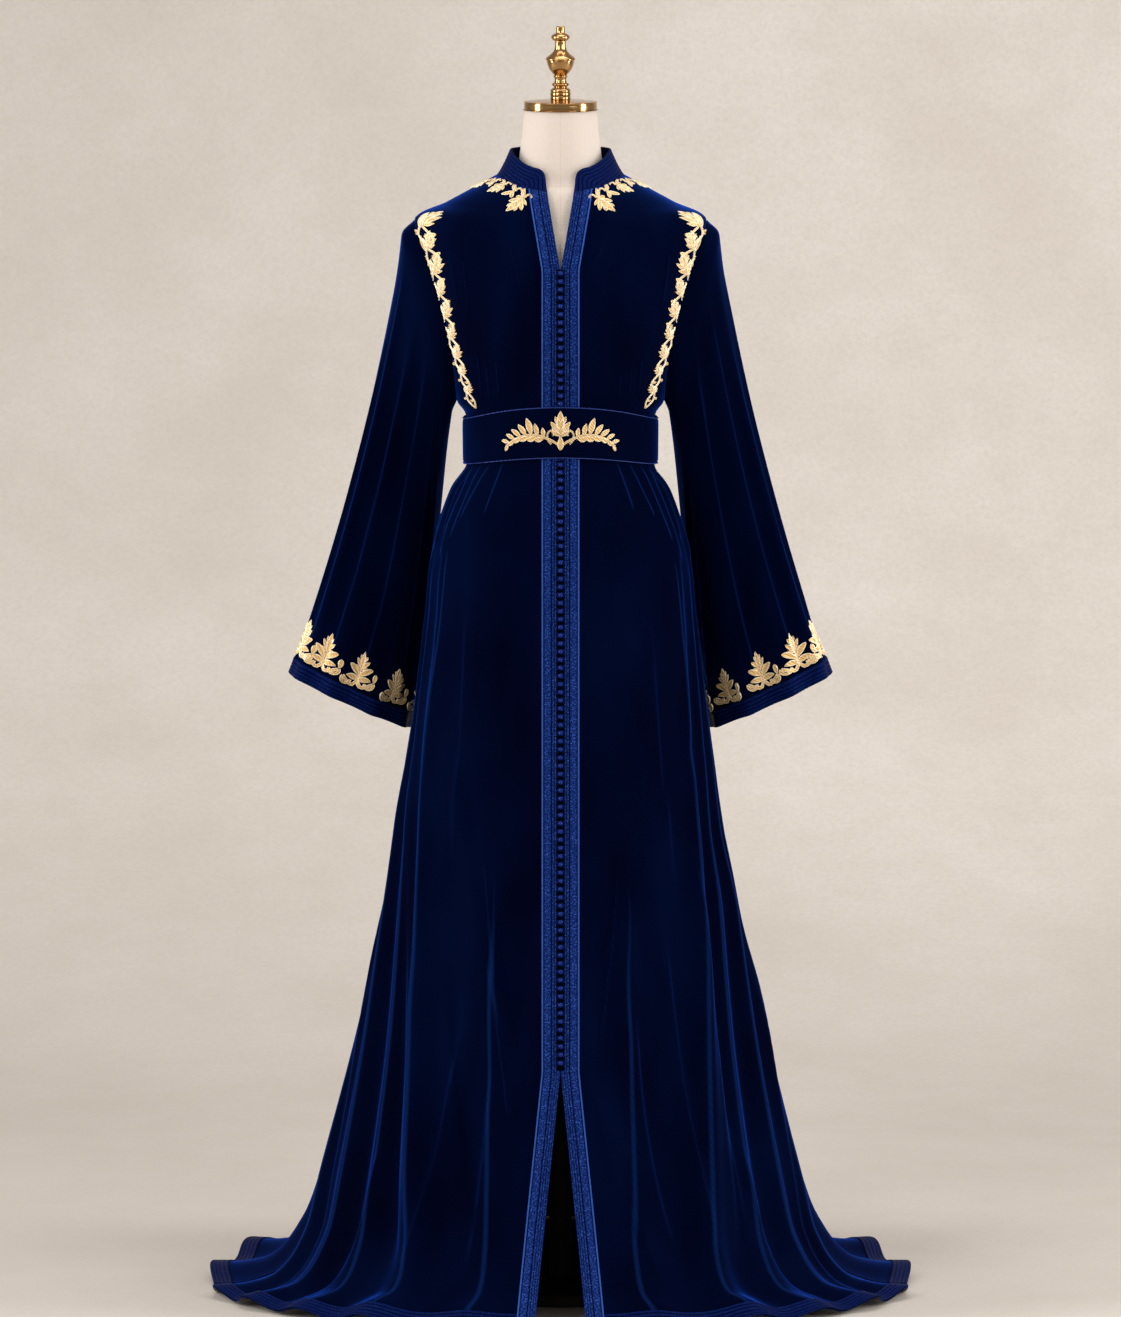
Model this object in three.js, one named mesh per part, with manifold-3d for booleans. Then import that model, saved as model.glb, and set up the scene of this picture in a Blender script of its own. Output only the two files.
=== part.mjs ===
// A floor-length velvet kaftan on a limbless dress form with its stand.
// Millimetres, +Z up, the front faces -Y, the origin is on the floor under the stand's pole.
//
// Every cloth piece is a thin wall built on one of three surfaces: the trunk (fronts and back),
// the sleeves and the collar. Trims, buttons and applique lie on those surfaces, moved outwards.

import * as THREE from "three";
import { mergeVertices } from "three/addons/utils/BufferGeometryUtils.js";
import Module from "manifold-3d";

const wasm = await Module();
wasm.setup();

// ---------------------------------------------------------------- driving dimensions

const WALL = 2; // velvet with its lining
const GAP = 0.3; // between pieces at a seam
const BRAID = { width: 24, thick: 1.6 }; // woven braid beside the front edges
const HEM_THICK = 1.2;
const CUFF_THICK = 1.4;
const APPLIQUE = { clear: 0.5, thick: 1.8 };
const NECK_OPENING = { half: 17, top: 1440, foot: 1342 };
const SLIT = { half: 34, top: 322 }; // half is half its width at the floor
const ARMHOLE_HOLLOW = 15; // how far the armhole seam bows in towards the chest
const COLLAR = {
  side: 65,
  front: 58,
  back: 60,
  frontTop: 1471,
  sideTop: 1493,
  riseFrom: 0.4, // radians round from the front where its top edge starts to climb
  riseOver: 1.2, // radians over which it climbs
  edgeInset: 1.5, // how much further apart its front edges are at the top than at the seam
  lean: 0.8, // the power by which it leans in towards its top
  corner: 14,
  thick: 2.2,
};
const BELT = { bottom: 1084, top: 1144, bottomRise: 15, topRise: 22, clear: 2.9, thick: 2.4 };
const LOOPS = { half: 5.5, thick: 1.2, crown: 0.2 }; // the strip of cord loops under the buttons
const BUTTON = { pitch: 10.4, radius: 3.2, height: 3.6, sunk: 0.8 };
const BUTTON_ROWS = {
  upper: { from: 1344, to: 1169 },
  lower: { from: 1096, to: 323 },
};

// Cross-sections of the trunk, from the neck seam down to the hem. side: half width; front, back:
// depths from the axis; square: how boxy the section is; lift: how much higher the cloth is at
// the centre front; lie: 0 where cloth stands, 1 where it lies on the floor; steps: grid rows
// down to the next section.
const SECTIONS = [
  { z: 1459, side: 83, front: 70, back: 66, square: 0, lift: -19, lie: 0, steps: 1 },
  { z: 1444, side: 110, front: 78, back: 76, square: 0.01, lift: -12, lie: 0, steps: 1 },
  { z: 1424, side: 147, front: 84, back: 84, square: 0.02, lift: -5, lie: 0, steps: 1 },
  { z: 1400, side: 190, front: 91, back: 90, square: 0.03, lift: 0, lie: 0, steps: 3 },
  { z: 1345, side: 176, front: 104, back: 96, square: 0.04, lift: 0, lie: 0, steps: 3 },
  { z: 1262, side: 155, front: 114, back: 97, square: 0.04, lift: 0, lie: 0, steps: 2 },
  { z: 1200, side: 142, front: 102, back: 91, square: 0.03, lift: 0, lie: 0, steps: 2 },
  { z: 1166, side: 134.5, front: 92, back: 87, square: 0.02, lift: 0, lie: 0, steps: 2 },
  { z: 1144, side: 122, front: 89, back: 84, square: 0.01, lift: 0, lie: 0, steps: 2 },
  { z: 1084, side: 121.5, front: 89, back: 85, square: 0.01, lift: 0, lie: 0, steps: 1 },
  { z: 1046, side: 143, front: 98, back: 101, square: 0.02, lift: 0, lie: 0, steps: 2 },
  { z: 965, side: 168, front: 110, back: 124, square: 0.02, lift: 0, lie: 0, steps: 1 },
  { z: 880, side: 175, front: 118, back: 137, square: 0.02, lift: 0, lie: 0, steps: 1 },
  { z: 770, side: 186, front: 134, back: 155, square: 0.01, lift: 0, lie: 0, steps: 2 },
  { z: 580, side: 208, front: 172, back: 202, square: 0, lift: 0, lie: 0, steps: 2 },
  { z: 346, side: 246, front: 226, back: 272, square: 0, lift: 0, lie: 0, steps: 2 },
  { z: 138, side: 298, front: 280, back: 358, square: 0, lift: 6, lie: 0.05, steps: 1 },
  { z: 70, side: 326, front: 302, back: 404, square: 0, lift: 16, lie: 0.15, steps: 1 },
  { z: 26, side: 362, front: 318, back: 454, square: 0, lift: 24, lie: 0.45, steps: 1 },
  { z: 7, side: 404, front: 329, back: 502, square: 0, lift: 26, lie: 0.9, steps: 1 },
  { z: 3, side: 428, front: 335, back: 528, square: 0, lift: 21, lie: 1, steps: 1 },
  { z: 2, side: 452, front: 342, back: 554, square: 0, lift: 0, lie: 1, steps: 0 },
];
const SHOULDER = 3; // the section at the shoulder point
const UNDERARM = 7; // the section at the foot of the armhole
const WAIST = 8; // the section at the belt's upper edge
const WAIST_SEAM = WAIST + 0.5; // the seam between bodice and skirt, half way down the belt

// Long folds of the skirt, the same on both sides, from the front round to the back. hip and
// hem: degrees round from the centre front where the crest runs; depth: at the hem; spread:
// degrees from crest to foot at the hem; top: the height where the fold dies out.
const FRONT_FOLDS = [
  { hip: 28, hem: 16, depth: 9, spread: 4.5, top: 620 },
  { hip: 62, hem: 33, depth: 24, spread: 5, top: 1020 },
  { hip: 74, hem: 47, depth: 22, spread: 5, top: 960 },
  { hip: 81, hem: 61, depth: 27, spread: 5, top: 1000 },
  { hip: 87, hem: 76, depth: 25, spread: 5.5, top: 920 },
];
const BACK_FOLDS = [
  { hip: 101, hem: 99, depth: 28, spread: 6, top: 980 },
  { hip: 118, hem: 117, depth: 33, spread: 6, top: 940 },
  { hip: 135, hem: 135, depth: 38, spread: 6, top: 1020 },
  { hip: 152, hem: 153, depth: 34, spread: 6, top: 940 },
  { hip: 169, hem: 170, depth: 36, spread: 6, top: 1020 },
];
const HIP = 875; // the height of the hip angles above
const FOLD_TIGHTENING = 0.45; // how much narrower a fold is at the hip than at the hem
const FOLD_GROWTH = 0.9; // the power by which a fold deepens on its way down
const FOLD_LYING = { out: 0.5, up: 0.6 }; // shares of its depth that a fold loses outwards and gains upwards
const CRESTS_FROM = 1100; // below this height the columns start to move towards the crests
const FRONT_STEPS = [2, 3, 2, 2, 2, 2]; // columns from the braid to each crest, then to the seam
const BACK_STEPS = [1, 2, 2, 2, 2, 2]; // columns from the seam to each crest, then to the centre

// Sections of a sleeve below the armhole. Each runs from its outer fold to its inner fold, and
// the cloth bellies out front and back of the line between them by the two depths.
const SLEEVE_COLUMNS = ["outerX", "outerY", "outerZ", "innerX", "innerY", "innerZ", "front", "back", "steps"];
const SLEEVE_SECTIONS = [
  [206, 2, 1380, 141, 8, 1148, 48, 48, 1],
  [216, 4, 1308, 148, 34, 1094, 49, 52, 2],
  [249, 8, 1152, 160, 76, 975, 49, 56, 2],
  [290, 12, 996, 173, 86, 856, 53, 62, 2],
  [328, 14, 872, 185, 89, 780, 58, 66, 1],
  [345, 15, 830, 192, 90, 750, 60, 68, 1],
  [353, 15, 809, 196, 90, 729, 61, 69, 0],
].map((row) => Object.fromEntries(row.map((value, k) => [SLEEVE_COLUMNS[k], value])));
const SLEEVE_GROWTH = 0.8; // the power by which a sleeve's folds deepen on their way down
// The sleeve head takes on the panels' slope over this stretch of the armhole's height.
const HEAD_SLOPE = { from: 0.15, over: 0.45 };

// Long folds of a sleeve. turn: 0 at the inner fold, 0.25 at the front, 0.5 at the outer fold.
const SLEEVE_FOLDS = [
  { turn: 0.1, depth: 7, spread: 0.026 },
  { turn: 0.2, depth: 9, spread: 0.026 },
  { turn: 0.3, depth: 10, spread: 0.026 },
  { turn: 0.4, depth: 8, spread: 0.026 },
  { turn: 0.6, depth: 8, spread: 0.026 },
  { turn: 0.7, depth: 10, spread: 0.026 },
  { turn: 0.8, depth: 9, spread: 0.026 },
  { turn: 0.9, depth: 7, spread: 0.026 },
];

// The dress form's body, from its foot to the top of its neck.
const FORM_SECTIONS = [
  { z: 806, side: 130, front: 84, back: 94, square: 0 },
  { z: 860, side: 150, front: 95, back: 108, square: 0 },
  { z: 930, side: 158, front: 100, back: 113, square: 0.01 },
  { z: 985, side: 150, front: 96, back: 106, square: 0.01 },
  { z: 1046, side: 128, front: 86, back: 88, square: 0.01 },
  { z: 1112, side: 108, front: 78, back: 74, square: 0.01 },
  { z: 1166, side: 117, front: 82, back: 78, square: 0.01 },
  { z: 1225, side: 131, front: 96, back: 84, square: 0.02 },
  { z: 1280, side: 141, front: 103, back: 88, square: 0.03 },
  { z: 1345, side: 158, front: 94, back: 87, square: 0.03 },
  { z: 1378, side: 172, front: 87, back: 83, square: 0.02 },
  { z: 1397.6, side: 187, front: 80, back: 80, square: 0 },
  { z: 1421.4, side: 146, front: 73, back: 74, square: 0 },
  { z: 1441, side: 109.5, front: 62, back: 64, square: 0 },
  { z: 1452, side: 82, front: 52, back: 54, square: 0 },
  { z: 1468, side: 58, front: 49, back: 51, square: 0 },
  { z: 1500, side: 51, front: 48.5, back: 49, square: 0 },
  { z: 1543, side: 47, front: 47, back: 47, square: 0 },
];
const NECK_CAP = { radius: 47, bottom: 1543.3, thick: 10.4, dome: 2.4 };

// Half of the finial's outline, upwards from its foot.
const FINIAL = [
  { radius: 13, up: 0 },
  { radius: 13, up: 12 },
  { radius: 8.5, up: 15.5 },
  { radius: 11.2, up: 19.5 },
  { radius: 7.6, up: 24 },
  { radius: 9.2, up: 30 },
  { radius: 8, up: 31.5 },
  { radius: 14.6, up: 39.5 },
  { radius: 17.8, up: 50 },
  { radius: 19.4, up: 52 },
  { radius: 16.4, up: 56 },
  { radius: 9, up: 62.5 },
  { radius: 7, up: 71 },
  { radius: 7, up: 75.5 },
  { radius: 11.8, up: 80 },
  { radius: 9, up: 84.5 },
  { radius: 5.6, up: 87 },
  { radius: 5.5, up: 95 },
];
const POLE_RADIUS = 14;
const PLATE = { radius: 84, thick: 12 };
const BASE = { radius: 150, thick: 14, bevel: 4 };

// The run of the armhole vine, down the front beside the seam. width: of the vine there.
const VINE = [
  { x: 172, z: 1392, width: 36 },
  { x: 157, z: 1350, width: 34 },
  { x: 145, z: 1308, width: 31 },
  { x: 137, z: 1266, width: 27 },
  { x: 129, z: 1228, width: 22 },
  { x: 121, z: 1196, width: 17 },
  { x: 114, z: 1172, width: 13 },
];

// ---------------------------------------------------------------- small helpers

const clamp = (x, low, high) => Math.min(high, Math.max(low, x));
const mix = (a, b, f) => a + (b - a) * f;
const smooth = (x) => clamp(x, 0, 1) ** 2 * (3 - 2 * clamp(x, 0, 1));
const radians = (degrees) => (degrees * Math.PI) / 180;
const bell = (distance, spread) => Math.exp(-((distance / spread) ** 2));
const upTo = (count) => [...Array(count + 1).keys()];

// A smooth curve through the rows of a table: every named column at row position t.
function alongTable(rows, t) {
  const i = clamp(Math.floor(t), 0, rows.length - 2);
  const f = t - i;
  const [a, b, c, d] = [-1, 0, 1, 2].map((k) => rows[clamp(i + k, 0, rows.length - 1)]);
  const out = {};
  for (const key of Object.keys(b)) {
    const start = (c[key] - a[key]) / 2;
    const end = (d[key] - b[key]) / 2;
    out[key] =
      b[key] * (2 * f ** 3 - 3 * f ** 2 + 1) +
      start * (f ** 3 - 2 * f ** 2 + f) +
      c[key] * (3 * f ** 2 - 2 * f ** 3) +
      end * (f ** 3 - f ** 2);
  }
  return out;
}

// Row positions of a table, divided as its steps say.
function gridRows(rows) {
  const out = [];
  rows.forEach((row, i) => {
    for (let k = 0; k < row.steps; k++) out.push(i + k / row.steps);
  });
  return [...out, rows.length - 1];
}

// The row position where the trunk comes down to height z, at the centre front or the side.
function trunkRow(z, liftShare = 0) {
  let [low, high] = [0, SECTIONS.length - 1];
  for (let k = 0; k < 40; k++) {
    const mid = (low + high) / 2;
    const s = alongTable(SECTIONS, mid);
    if (s.z + s.lift * liftShare > z) low = mid;
    else high = mid;
  }
  return low;
}

// ---------------------------------------------------------------- the trunk's surface

// The mirror image of a point or direction across the YZ plane.
const flip = (p) => new THREE.Vector3(-p.x, p.y, p.z);

// A point of a section: an ellipse with its own front and back depths, made boxy by square.
function onSection(s, phi) {
  const [sin, cos] = [Math.sin(phi), Math.cos(phi)];
  const boxy = 1 + s.square * Math.sin(2 * phi) ** 2;
  const depth = cos > 0 ? s.front : s.back;
  return new THREE.Vector3(s.side * sin * boxy, -depth * cos * boxy, s.z);
}

const foldAngle = (fold, z) => fold.hem + (fold.hip - fold.hem) * clamp(z / HIP, 0, 1);

// How far the folds push the cloth outwards, at angle phi and height z.
function foldPush(phi, z) {
  const angle = Math.abs((Math.atan2(Math.sin(phi), Math.cos(phi)) * 180) / Math.PI);
  const tighter = 1 - FOLD_TIGHTENING * clamp(z / HIP, 0, 1);
  let sum = 0;
  for (const fold of [...FRONT_FOLDS, ...BACK_FOLDS]) {
    const grown = clamp((fold.top - z) / fold.top, 0, 1) ** FOLD_GROWTH;
    sum += fold.depth * grown * bell(angle - foldAngle(fold, z), fold.spread * tighter);
  }
  return sum;
}

// The trunk's outer face at angle phi from the centre front and row position t.
function trunk(phi, t) {
  const s = alongTable(SECTIONS, t);
  const p = onSection(s, phi);
  p.z += s.lift * Math.max(0, Math.cos(phi)) ** 2;
  const push = foldPush(phi, s.z);
  const out = new THREE.Vector3(p.x, p.y, 0).normalize();
  p.addScaledVector(out, push * (1 - FOLD_LYING.out * s.lie));
  p.z += push * FOLD_LYING.up * s.lie;
  p.z = Math.max(p.z, WALL);
  return p;
}

function armholeX(z) {
  const [top, foot] = [SECTIONS[SHOULDER], SECTIONS[UNDERARM]];
  const share = clamp((top.z - z) / (top.z - foot.z), 0, 1);
  return mix(top.side, foot.side, share) - ARMHOLE_HOLLOW * Math.sin(Math.PI * share);
}

// Half the front opening at height z: the neckline, closed, then the slit.
function openHalf(z) {
  const neck = NECK_OPENING.half * ((z - NECK_OPENING.foot) / (NECK_OPENING.top - NECK_OPENING.foot));
  const slit = SLIT.half * (1 - z / SLIT.top);
  return Math.max(GAP / 2, neck, slit);
}

const angleAtX = (s, x) => Math.asin(clamp(x / s.side, 0, 1));

// The angle where a front or back panel ends: the side seam, shoulder seam or armhole.
function panelEnd(s, t, depth) {
  const seam = Math.PI / 2 - Math.asin(GAP / 2 / depth);
  const inArmhole = t >= SHOULDER && t <= UNDERARM;
  return inArmhole ? Math.min(seam, angleAtX(s, armholeX(s.z))) : seam;
}

// ---------------------------------------------------------------- grids and walls

// A grid of points and outward normals from a surface. The columns run so that the way down
// the rows turned towards the way along the columns points out of the garment.
function surfaceGrid(surface, columns, rows) {
  const step = 1e-3;
  const points = rows.map((r) => columns.map((c) => surface(c, r)));
  const normals = rows.map((r) =>
    columns.map((c) => {
      const across = surface(c + step, r).sub(surface(c - step, r));
      const down = surface(c, r + step).sub(surface(c, r - step));
      return down.cross(across).normalize();
    }),
  );
  return { points, normals };
}

// The same from a table of points, each normal worked out from the point's neighbours.
function pointGrid(points, ring = false) {
  const [rows, columns] = [points.length, points[0].length];
  const normals = points.map((row, i) =>
    row.map((_, j) => {
      const before = ring ? (j + columns - 1) % columns : Math.max(0, j - 1);
      const after = ring ? (j + 1) % columns : Math.min(columns - 1, j + 1);
      const across = row[after].clone().sub(row[before]);
      const down = points[Math.min(rows - 1, i + 1)][j].clone().sub(points[Math.max(0, i - 1)][j]);
      return down.cross(across).normalize();
    }),
  );
  return { points, normals };
}

// Rows and columns of a grid from one to another, both included.
function part(grid, rowFrom, rowTo, columnFrom = 0, columnTo = Infinity) {
  const take = (table) =>
    table.slice(rowFrom, rowTo + 1).map((row) => row.slice(columnFrom, columnTo + 1));
  return { points: take(grid.points), normals: take(grid.normals) };
}

// The point and normal at a row and column of a grid, between its points where they aren't whole.
function sample(grid, row, column) {
  const i = clamp(Math.floor(row), 0, grid.points.length - 2);
  const j = clamp(Math.floor(column), 0, grid.points[0].length - 2);
  const at = (table) =>
    table[i][j]
      .clone()
      .lerp(table[i][j + 1], column - j)
      .lerp(table[i + 1][j].clone().lerp(table[i + 1][j + 1], column - j), row - i);
  return { point: at(grid.points), normal: at(grid.normals).normalize() };
}

// A grid through samples of another at lists of rows and columns.
function resample(grid, rows, columns) {
  const samples = rows.map((row) => columns.map((column) => sample(grid, row, column)));
  return {
    points: samples.map((row) => row.map(({ point }) => point)),
    normals: samples.map((row) => row.map(({ normal }) => normal)),
  };
}

// The closed wall between two offsets of a grid; a ring joins its last column to its first.
function wall(grid, low, high, ring = false) {
  const [rows, columns] = [grid.points.length, grid.points[0].length];
  const position = [];
  for (const offset of [high, low])
    for (let i = 0; i < rows; i++)
      for (let j = 0; j < columns; j++) {
        const p = grid.points[i][j].clone().addScaledVector(grid.normals[i][j], offset);
        position.push(p.x, p.y, Math.max(0, p.z));
      }
  const id = (side, i, j) => side * rows * columns + i * columns + (j % columns);
  const index = [];
  const quad = (a, b, c, d) => index.push(a, b, c, a, c, d);
  const segments = ring ? columns : columns - 1;
  const end = columns - 1;
  for (let j = 0; j < segments; j++) {
    for (let i = 0; i < rows - 1; i++) {
      quad(id(0, i, j), id(0, i + 1, j), id(0, i + 1, j + 1), id(0, i, j + 1));
      quad(id(1, i, j), id(1, i, j + 1), id(1, i + 1, j + 1), id(1, i + 1, j));
    }
    quad(id(0, 0, j), id(0, 0, j + 1), id(1, 0, j + 1), id(1, 0, j));
    quad(id(0, rows - 1, j + 1), id(0, rows - 1, j), id(1, rows - 1, j), id(1, rows - 1, j + 1));
  }
  if (!ring)
    for (let i = 0; i < rows - 1; i++) {
      quad(id(0, i + 1, 0), id(0, i, 0), id(1, i, 0), id(1, i + 1, 0));
      quad(id(0, i, end), id(0, i + 1, end), id(1, i + 1, end), id(1, i, end));
    }
  const geometry = new THREE.BufferGeometry();
  geometry.setAttribute("position", new THREE.Float32BufferAttribute(position, 3));
  geometry.setIndex(index);
  return geometry;
}

// ---------------------------------------------------------------- solids for joins and cuts

function toSolid(geometry) {
  const bare = geometry.clone();
  bare.deleteAttribute("normal");
  bare.deleteAttribute("uv");
  const merged = mergeVertices(bare, 1e-4);
  return new wasm.Manifold(
    new wasm.Mesh({
      numProp: 3,
      vertProperties: new Float32Array(merged.attributes.position.array),
      triVerts: new Uint32Array(merged.index.array),
    }),
  );
}

function toGeometry(solid) {
  const mesh = solid.getMesh();
  const geometry = new THREE.BufferGeometry();
  geometry.setAttribute("position", new THREE.BufferAttribute(mesh.vertProperties, 3));
  geometry.setIndex(new THREE.BufferAttribute(mesh.triVerts, 1));
  return geometry;
}

const joinAll = (solids) => solids.reduce((sum, next) => sum.add(next));

// The mirror image across the YZ plane, with its faces turned to point out again.
function mirrored(geometry) {
  const copy = geometry.clone();
  copy.scale(-1, 1, 1);
  const index = copy.index.array;
  for (let i = 0; i < index.length; i += 3)
    [index[i + 1], index[i + 2]] = [index[i + 2], index[i + 1]];
  return copy;
}

// A turned solid on the Z axis from half of its outline, given upwards.
function turned(outline, sides, bottom = 0) {
  const profile = outline.map(({ radius, up }) => new THREE.Vector2(radius, up));
  const ends = [new THREE.Vector2(0, profile[0].y), new THREE.Vector2(0, profile.at(-1).y)];
  const lathe = new THREE.LatheGeometry([ends[0], ...profile, ends[1]], sides);
  lathe.rotateX(Math.PI / 2);
  lathe.translate(0, 0, bottom);
  return toGeometry(toSolid(lathe));
}

// A solid through rings of points, closed flat at both ends.
function loft(rings) {
  const count = rings[0].length;
  const position = rings.flat().flatMap((p) => [p.x, p.y, p.z]);
  const index = [];
  for (let i = 0; i < rings.length - 1; i++)
    for (let j = 0; j < count; j++) {
      const next = (j + 1) % count;
      const [a, b] = [i * count + j, i * count + next];
      index.push(a, b, b + count, a, b + count, a + count);
    }
  const last = (rings.length - 1) * count;
  for (let j = 1; j < count - 1; j++) {
    index.push(0, j + 1, j);
    index.push(last, last + j, last + j + 1);
  }
  const geometry = new THREE.BufferGeometry();
  geometry.setAttribute("position", new THREE.Float32BufferAttribute(position, 3));
  geometry.setIndex(index);
  return geometry;
}

// ---------------------------------------------------------------- finishes and nodes

const finish = (color, roughness, metalness = 0) =>
  new THREE.MeshStandardMaterial({ color, roughness, metalness });
const velvet = finish(0x0a1a5c, 0.85);
const braid = finish(0x1f3a9c, 0.6);
const knot = finish(0x16286f, 0.55);
const gold = finish(0xd9b06a, 0.5, 0.2);
const linen = finish(0xe6ddd0, 0.9);
const brass = finish(0xc9964f, 0.2, 1);
const darkMetal = finish(0x1c1a19, 0.5, 0.6);

const kaftan = new THREE.Group();

function add(name, geometry, material) {
  const mesh = new THREE.Mesh(geometry, material);
  mesh.name = name;
  kaftan.add(mesh);
}

function addPair(name, geometry, material) {
  add(name + "_left", geometry, material);
  add(name + "_right", mirrored(geometry), material);
}

// ---------------------------------------------------------------- fronts and back

const sum = (list) => list.reduce((a, b) => a + b, 0);
const FRONT_COLUMNS = sum(FRONT_STEPS); // beyond the braid
const BACK_COLUMNS = sum(BACK_STEPS);
const trunkRows = gridRows(SECTIONS);
const rowOf = (section) => trunkRows.indexOf(section);
const lastRow = trunkRows.length - 1;

// The angle of a column among crests: each gap between angles is divided as steps say.
function amongCrests(column, angles, steps) {
  let from = 0;
  for (let k = 0; k < steps.length; k++) {
    const last = k === steps.length - 1;
    if (column <= from + steps[k] || last) return mix(angles[k], angles[k + 1], (column - from) / steps[k]);
    from += steps[k];
  }
}

// Columns run evenly round the bodice and follow the fold crests on the skirt.
function followFolds(even, crests, z) {
  return mix(even, crests, smooth((CRESTS_FROM - z) / (CRESTS_FROM - HIP)));
}

// The wearer's left front, on +X. Column 0 is the front edge, 1 the braid's outer edge.
function frontAngle(column, t) {
  const s = alongTable(SECTIONS, t);
  const open = openHalf(s.z + s.lift);
  const edge = angleAtX(s, open);
  const start = angleAtX(s, open + BRAID.width);
  if (column < 1) return mix(edge, start, column);
  const end = panelEnd(s, t, s.front);
  const crests = FRONT_FOLDS.map((fold) => radians(foldAngle(fold, s.z)));
  const along = column - 1;
  const onCrests = amongCrests(along, [start, ...crests, end], FRONT_STEPS);
  return followFolds(mix(start, end, along / FRONT_COLUMNS), onCrests, s.z);
}

// The wearer's left half of the back, from the side seam to the centre back seam.
function backAngle(column, t) {
  const s = alongTable(SECTIONS, t);
  const start = Math.PI - panelEnd(s, t, s.back);
  const end = Math.PI - Math.asin(GAP / 2 / s.side);
  const crests = BACK_FOLDS.map((fold) => radians(foldAngle(fold, s.z)));
  const onCrests = amongCrests(column, [start, ...crests, end], BACK_STEPS);
  return followFolds(mix(start, end, column / BACK_COLUMNS), onCrests, s.z);
}

const frontGrid = surfaceGrid((c, t) => trunk(frontAngle(c, t), t), upTo(FRONT_COLUMNS + 1), trunkRows);
const backGrid = surfaceGrid((c, t) => trunk(backAngle(c, t), t), upTo(BACK_COLUMNS), trunkRows);

// A panel in two pieces, which meet at the waist seam under the belt.
function addPanel(side, grid) {
  const seam = rowOf(WAIST_SEAM);
  const columns = upTo(grid.points[0].length - 1);
  const half = GAP / 2 / grid.points[seam][0].distanceTo(grid.points[seam + 1][0]);
  const above = [...upTo(seam - 1), seam - half];
  const below = [seam + half, ...upTo(lastRow).slice(seam + 1)];
  addPair("bodice_" + side, wall(resample(grid, above, columns), -WALL, 0), velvet);
  addPair("skirt_" + side, wall(resample(grid, below, columns), -WALL, 0), velvet);
}

addPanel("front", frontGrid);
addPanel("back", backGrid);

// ---------------------------------------------------------------- braid on the front edges and hem

addPair("front_band", wall(part(frontGrid, 0, lastRow, 0, 1), GAP, GAP + BRAID.thick), braid);

// A part of the front's grid beyond its braid, a seam's gap away from it.
function besideBraid(rowFrom, rowTo, columnTo) {
  const columns = upTo(columnTo - 1).map((k) => (k === 0 ? 1 + GAP / BRAID.width : k + 1));
  return resample(frontGrid, upTo(rowTo - rowFrom).map((k) => rowFrom + k), columns);
}

const hemBand = [GAP, GAP + HEM_THICK];
const frontHem = besideBraid(lastRow - 1, lastRow, FRONT_COLUMNS + 1);
addPair("hem_band_front", wall(frontHem, ...hemBand), braid);
addPair("hem_band_back", wall(part(backGrid, lastRow - 1, lastRow), ...hemBand), braid);

// ---------------------------------------------------------------- sleeves

// The armhole's edge on the panels as a ring, from the underarm up the front, over the
// shoulder and down the back, with each point moved off the cloth by the seam's gap.
function armholeLoop() {
  const [top, foot] = [rowOf(SHOULDER), rowOf(UNDERARM)];
  const height = foot - top;
  const count = 2 * height;
  const edge = (grid, column, k) => ({
    point: grid.points[foot - k][column],
    normal: grid.normals[foot - k][column],
  });
  const onFront = (k) => edge(frontGrid, FRONT_COLUMNS + 1, k);
  const onBack = (k) => edge(backGrid, 0, k);
  const between = (a, b) => ({
    point: a.point.clone().lerp(b.point, 0.5),
    normal: a.normal.clone().lerp(b.normal, 0.5).normalize(),
  });
  const ring = upTo(count - 1).map((j) => {
    const k = j <= height ? j : count - j;
    if (k === 0 || k === height) return between(onFront(k), onBack(k));
    return j < height ? onFront(k) : onBack(k);
  });
  return ring.map(({ point, normal }, j) => {
    const along = ring[(j + 1) % count].point.clone().sub(ring[(j + count - 1) % count].point);
    const away = along.cross(normal).normalize();
    const raised = Math.min(j, count - j) / height;
    const shared = smooth((raised - HEAD_SLOPE.from) / HEAD_SLOPE.over);
    const moved = point.clone().addScaledVector(away, GAP);
    moved.addScaledVector(normal, GAP * (1 - shared));
    return { point: moved, normal, shared };
  });
}

function sleevePoint(turn, t) {
  const s = alongTable(SLEEVE_SECTIONS, t);
  const outer = new THREE.Vector3(s.outerX, s.outerY, s.outerZ);
  const inner = new THREE.Vector3(s.innerX, s.innerY, s.innerZ);
  const [cos, sin] = [Math.cos(2 * Math.PI * turn), Math.sin(2 * Math.PI * turn)];
  const p = outer.clone().lerp(inner, (1 + cos) / 2);
  p.y -= sin * (sin > 0 ? s.front : s.back);
  const out = inner.sub(outer).normalize().multiplyScalar(cos);
  out.y -= sin;
  const grown = (t / (SLEEVE_SECTIONS.length - 1)) ** SLEEVE_GROWTH;
  const push = sum(SLEEVE_FOLDS.map((fold) => fold.depth * bell(turn - fold.turn, fold.spread)));
  return p.addScaledVector(out.normalize(), push * grown);
}

const loop = armholeLoop();
const sleeveTurns = loop.map((_, j) => j / loop.length);
const sleeveBelow = gridRows(SLEEVE_SECTIONS).map((t) => sleeveTurns.map((turn) => sleevePoint(turn, t)));
const sleeveGrid = pointGrid([loop.map(({ point }) => point), ...sleeveBelow], true);
sleeveGrid.normals[0].forEach((own, j) => own.lerp(loop[j].normal, loop[j].shared).normalize());
addPair("sleeve", wall(sleeveGrid, -WALL, 0, true), velvet);

const cuffRow = sleeveGrid.points.length - 1;
const cuffGrid = part(sleeveGrid, cuffRow - 1, cuffRow);
addPair("cuff_band", wall(cuffGrid, GAP, GAP + CUFF_THICK, true), braid);

// ---------------------------------------------------------------- collar

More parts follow.
